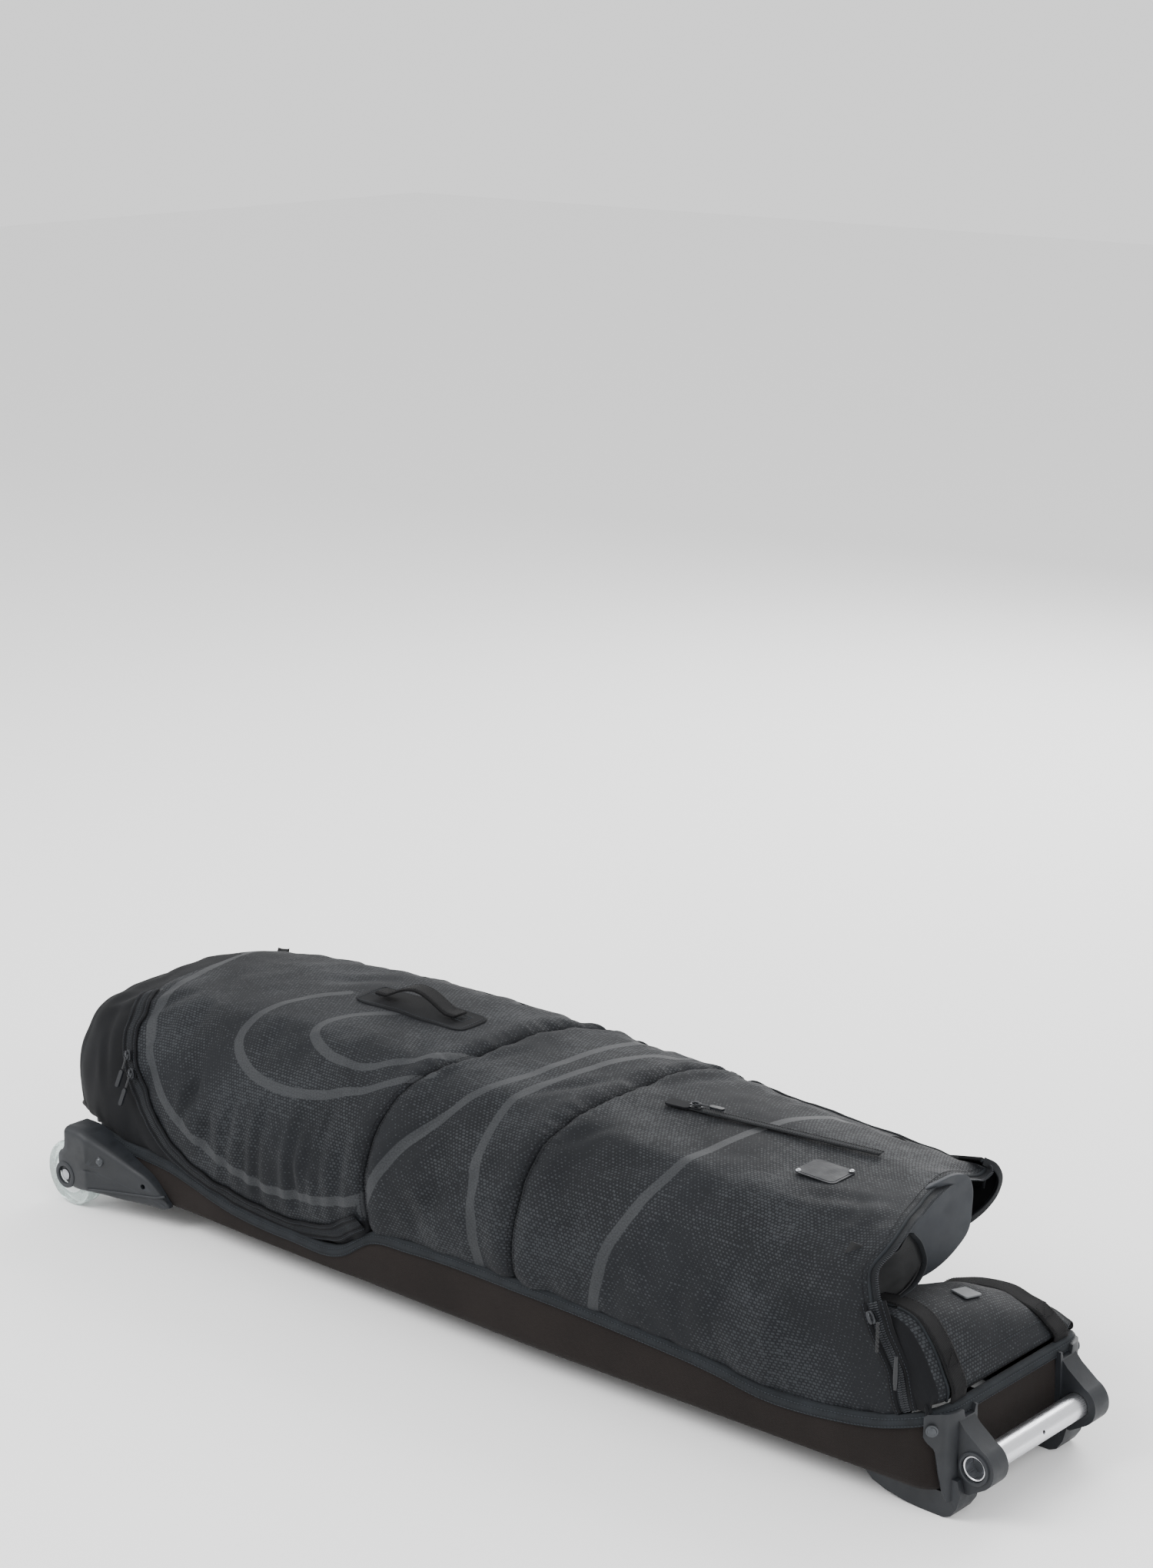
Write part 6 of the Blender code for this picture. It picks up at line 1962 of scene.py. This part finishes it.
def closedSheet(name, grid, thick, material):
    rows, columns = grid.shape[:2]
    places = np.stack(np.meshgrid(np.arange(rows) * 0.004, np.arange(columns) * 0.004, indexing="ij"), axis=-1)
    return layeredCloth(name, grid, grid - gridNormals(grid) * thick, places, material)


mouthParts = {
    "freeLine": [(0.552, -0.108, 0.199), (0.562, -0.088, 0.206), (0.564, -0.062, 0.214), (0.558, -0.040, 0.228),
                 (0.553, -0.042, 0.246), (0.551, -0.056, 0.262)],
    "foldLine": [(0.505, -0.119, 0.160), (0.502, -0.119, 0.182), (0.500, -0.118, 0.205), (0.503, -0.112, 0.226),
                 (0.508, -0.106, 0.243), (0.512, -0.098, 0.258)],
    "cornerLine": [(0.500, 0.150, 0.2660), (0.506, 0.164, 0.2560), (0.508, 0.171, 0.2420), (0.505, 0.170, 0.2260),
                   (0.499, 0.161, 0.2110), (0.491, 0.147, 0.1990), (0.484, 0.133, 0.1920)],
    "steps": 70, "cornerSteps": 44, "liningThick": 0.0020, "cornerThick": 0.0036,
}


def makeMouth():
    sheet = makeSheet()
    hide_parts("divider_pad")
    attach(sheet, "base")
    # the free half of the front zip, and the lining that folds in from it
    steps = mouthParts["steps"]
    path = smoothLine(mouthParts["freeLine"], steps)
    along = unit(np.gradient(path, axis=0))
    outs = unit(np.cross(along, np.broadcast_to(np.array((0.75, 0.0, 0.35)), along.shape)))
    tape = ribbon("freeTape", path, outs, 0.0150, 0.0014, mats["zipTape"])
    across = unit(np.cross(along, outs))
    teeth = placeAlong("freeTeeth", path + across * 0.0076, outs, loop, 0.0022, 0.0014, 0.00004, 9, mats["coil"])
    inside = smoothLine(mouthParts["foldLine"], steps)
    fold = []
    for share in np.linspace(0, 1, 16):
        line = path * (1 - share) + inside * share
        line = line + np.array((0.012, -0.004, -0.014)) * math.sin(math.pi * share)
        line[:, 2] += 0.0022 * math.sin(share * 17.0) * np.sin(np.linspace(0, 7, steps))
        fold.append(line)
    lining = closedSheet("mouthLining", np.array(fold), mouthParts["liningThick"], mats["lining"])
    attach(lining, "base")
    free = join("freeHalf", [tape, teeth])
    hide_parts("front_zip_free_half")
    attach(free, "base")
    print("mouth made")


def makeFarCorner():
    # the loose far corner of the lid curls down beside the sheet
    steps = mouthParts["cornerSteps"]
    edge = smoothLine(mouthParts["cornerLine"], steps)
    rows = []
    for share in np.linspace(0, 1, 22):
        back = edge + np.array((-0.080, 0.0, 0.0)) * share
        back[:, 1] += (0.170 - edge[:, 1]) * 0.6 * share
        back[:, 2] -= 0.020 * share * np.clip((edge[:, 2] - 0.225) / 0.030, 0, 1)
        back[:, 2] += 0.004 * math.sin(share * 5.0) * np.sin(np.linspace(0, 6, steps))
        rows.append(back)
    flap = closedSheet("farCorner", np.array(rows), mouthParts["cornerThick"], mats["plain"])
    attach(flap, "lid")
    outs = unit(np.column_stack([np.full(steps, 0.5), edge[:, 1] - 0.13, edge[:, 2] - 0.226]))
    piping = tube("farCornerPiping", edge + np.array((0.0008, 0, 0)), 0.0018, mats["binding"], 8)
    tape = ribbon("farCornerTape", edge + np.array((0.0035, 0, 0)), outs, 0.0090, 0.0013, mats["zipTape"])
    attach(join("farCornerEdge", [piping, tape]), "lid")


# the rear end under the zip: where its foot runs on the rim, and where its top leaves the lid
rearEnd = {
    "shares": [0, 0.62, 0.86, 1.0], "footX": [-0.6315, -0.6315, -0.617, -0.592],
    "footY": [-0.095, 0.105, 0.142, 0.1475], "corner": 0.86, "top": (-0.600, 0.166, 0.252), "thick": 0.003,
    "inside": (0.006, 0.003, -0.0035), "widest": 0.148, "bow": 0.004, "steps": (40, 14),
}


def makeRearEnd(lidEdge):
    columns = []
    places = np.arange(len(lidEdge))
    for share in np.linspace(0, 1, rearEnd["steps"][0]):
        bx, by = [np.interp(share, rearEnd["shares"], rearEnd[key]) for key in ("footX", "footY")]
        bz = float(rimHeight(bx)) - 0.002
        if share < rearEnd["corner"]:  # the top follows the lid's end just inside it
            k = (0.04 + 0.93 * share / rearEnd["corner"]) * places[-1]
            tx, ty, tz = [float(np.interp(k, places, lidEdge[:, c])) + rearEnd["inside"][c] for c in range(3)]
            ty = min(ty, rearEnd["widest"])
            last = (tx, ty, tz)
        else:
            tx, ty, tz = [np.interp(share, [rearEnd["corner"], 1.0], ends) for ends in zip(last, rearEnd["top"])]
        columns.append([(bx + (tx - bx) * t - rearEnd["bow"] * math.sin(math.pi * t), by + (ty - by) * t,
                         bz + (tz - bz) * t) for t in np.linspace(0, 1, rearEnd["steps"][1])])
    wall = closedSheet("rearWall", np.array(columns), rearEnd["thick"], mats["plain"])
    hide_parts("rear_gusset")
    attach(wall, "base")
    print("rear end made")


def makeTag():
    # blank tag on the front cover
    top = gussetLine(0.004)[5]
    place = framed((top[0] + 0.001, 0.004, top[1] + 0.0042), (0.035, 0, -0.004), (0, 0.100, -0.022))
    outline = [(-0.0105, -0.0135), (0.0085, -0.0155), (0.0105, -0.0135), (0.0105, 0.0135), (0.0085, 0.0155),
               (-0.0105, 0.0135)]
    tag = shapeAt("blankTag", place, outline, -0.0008, 0.0014, mats["tagRubber"], 0.0006)
    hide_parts("info_tag")
    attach(tag, "base")


makeTub()
skin = makeLid()
makeFarSide()
makeGusset()
makeZips(*skin[:4])
makeSliders()
makeHandle(*skin[:3])
makePlate()
makeFrontPull()
makeMouth()
makeFarCorner()
makeRearEnd(skin[2][0])
makeTag()
makeWheels()
makeHousings()
makeBrackets()
makeHardware()
for helper in (loop, stitch):
    bpy.data.objects.remove(helper)
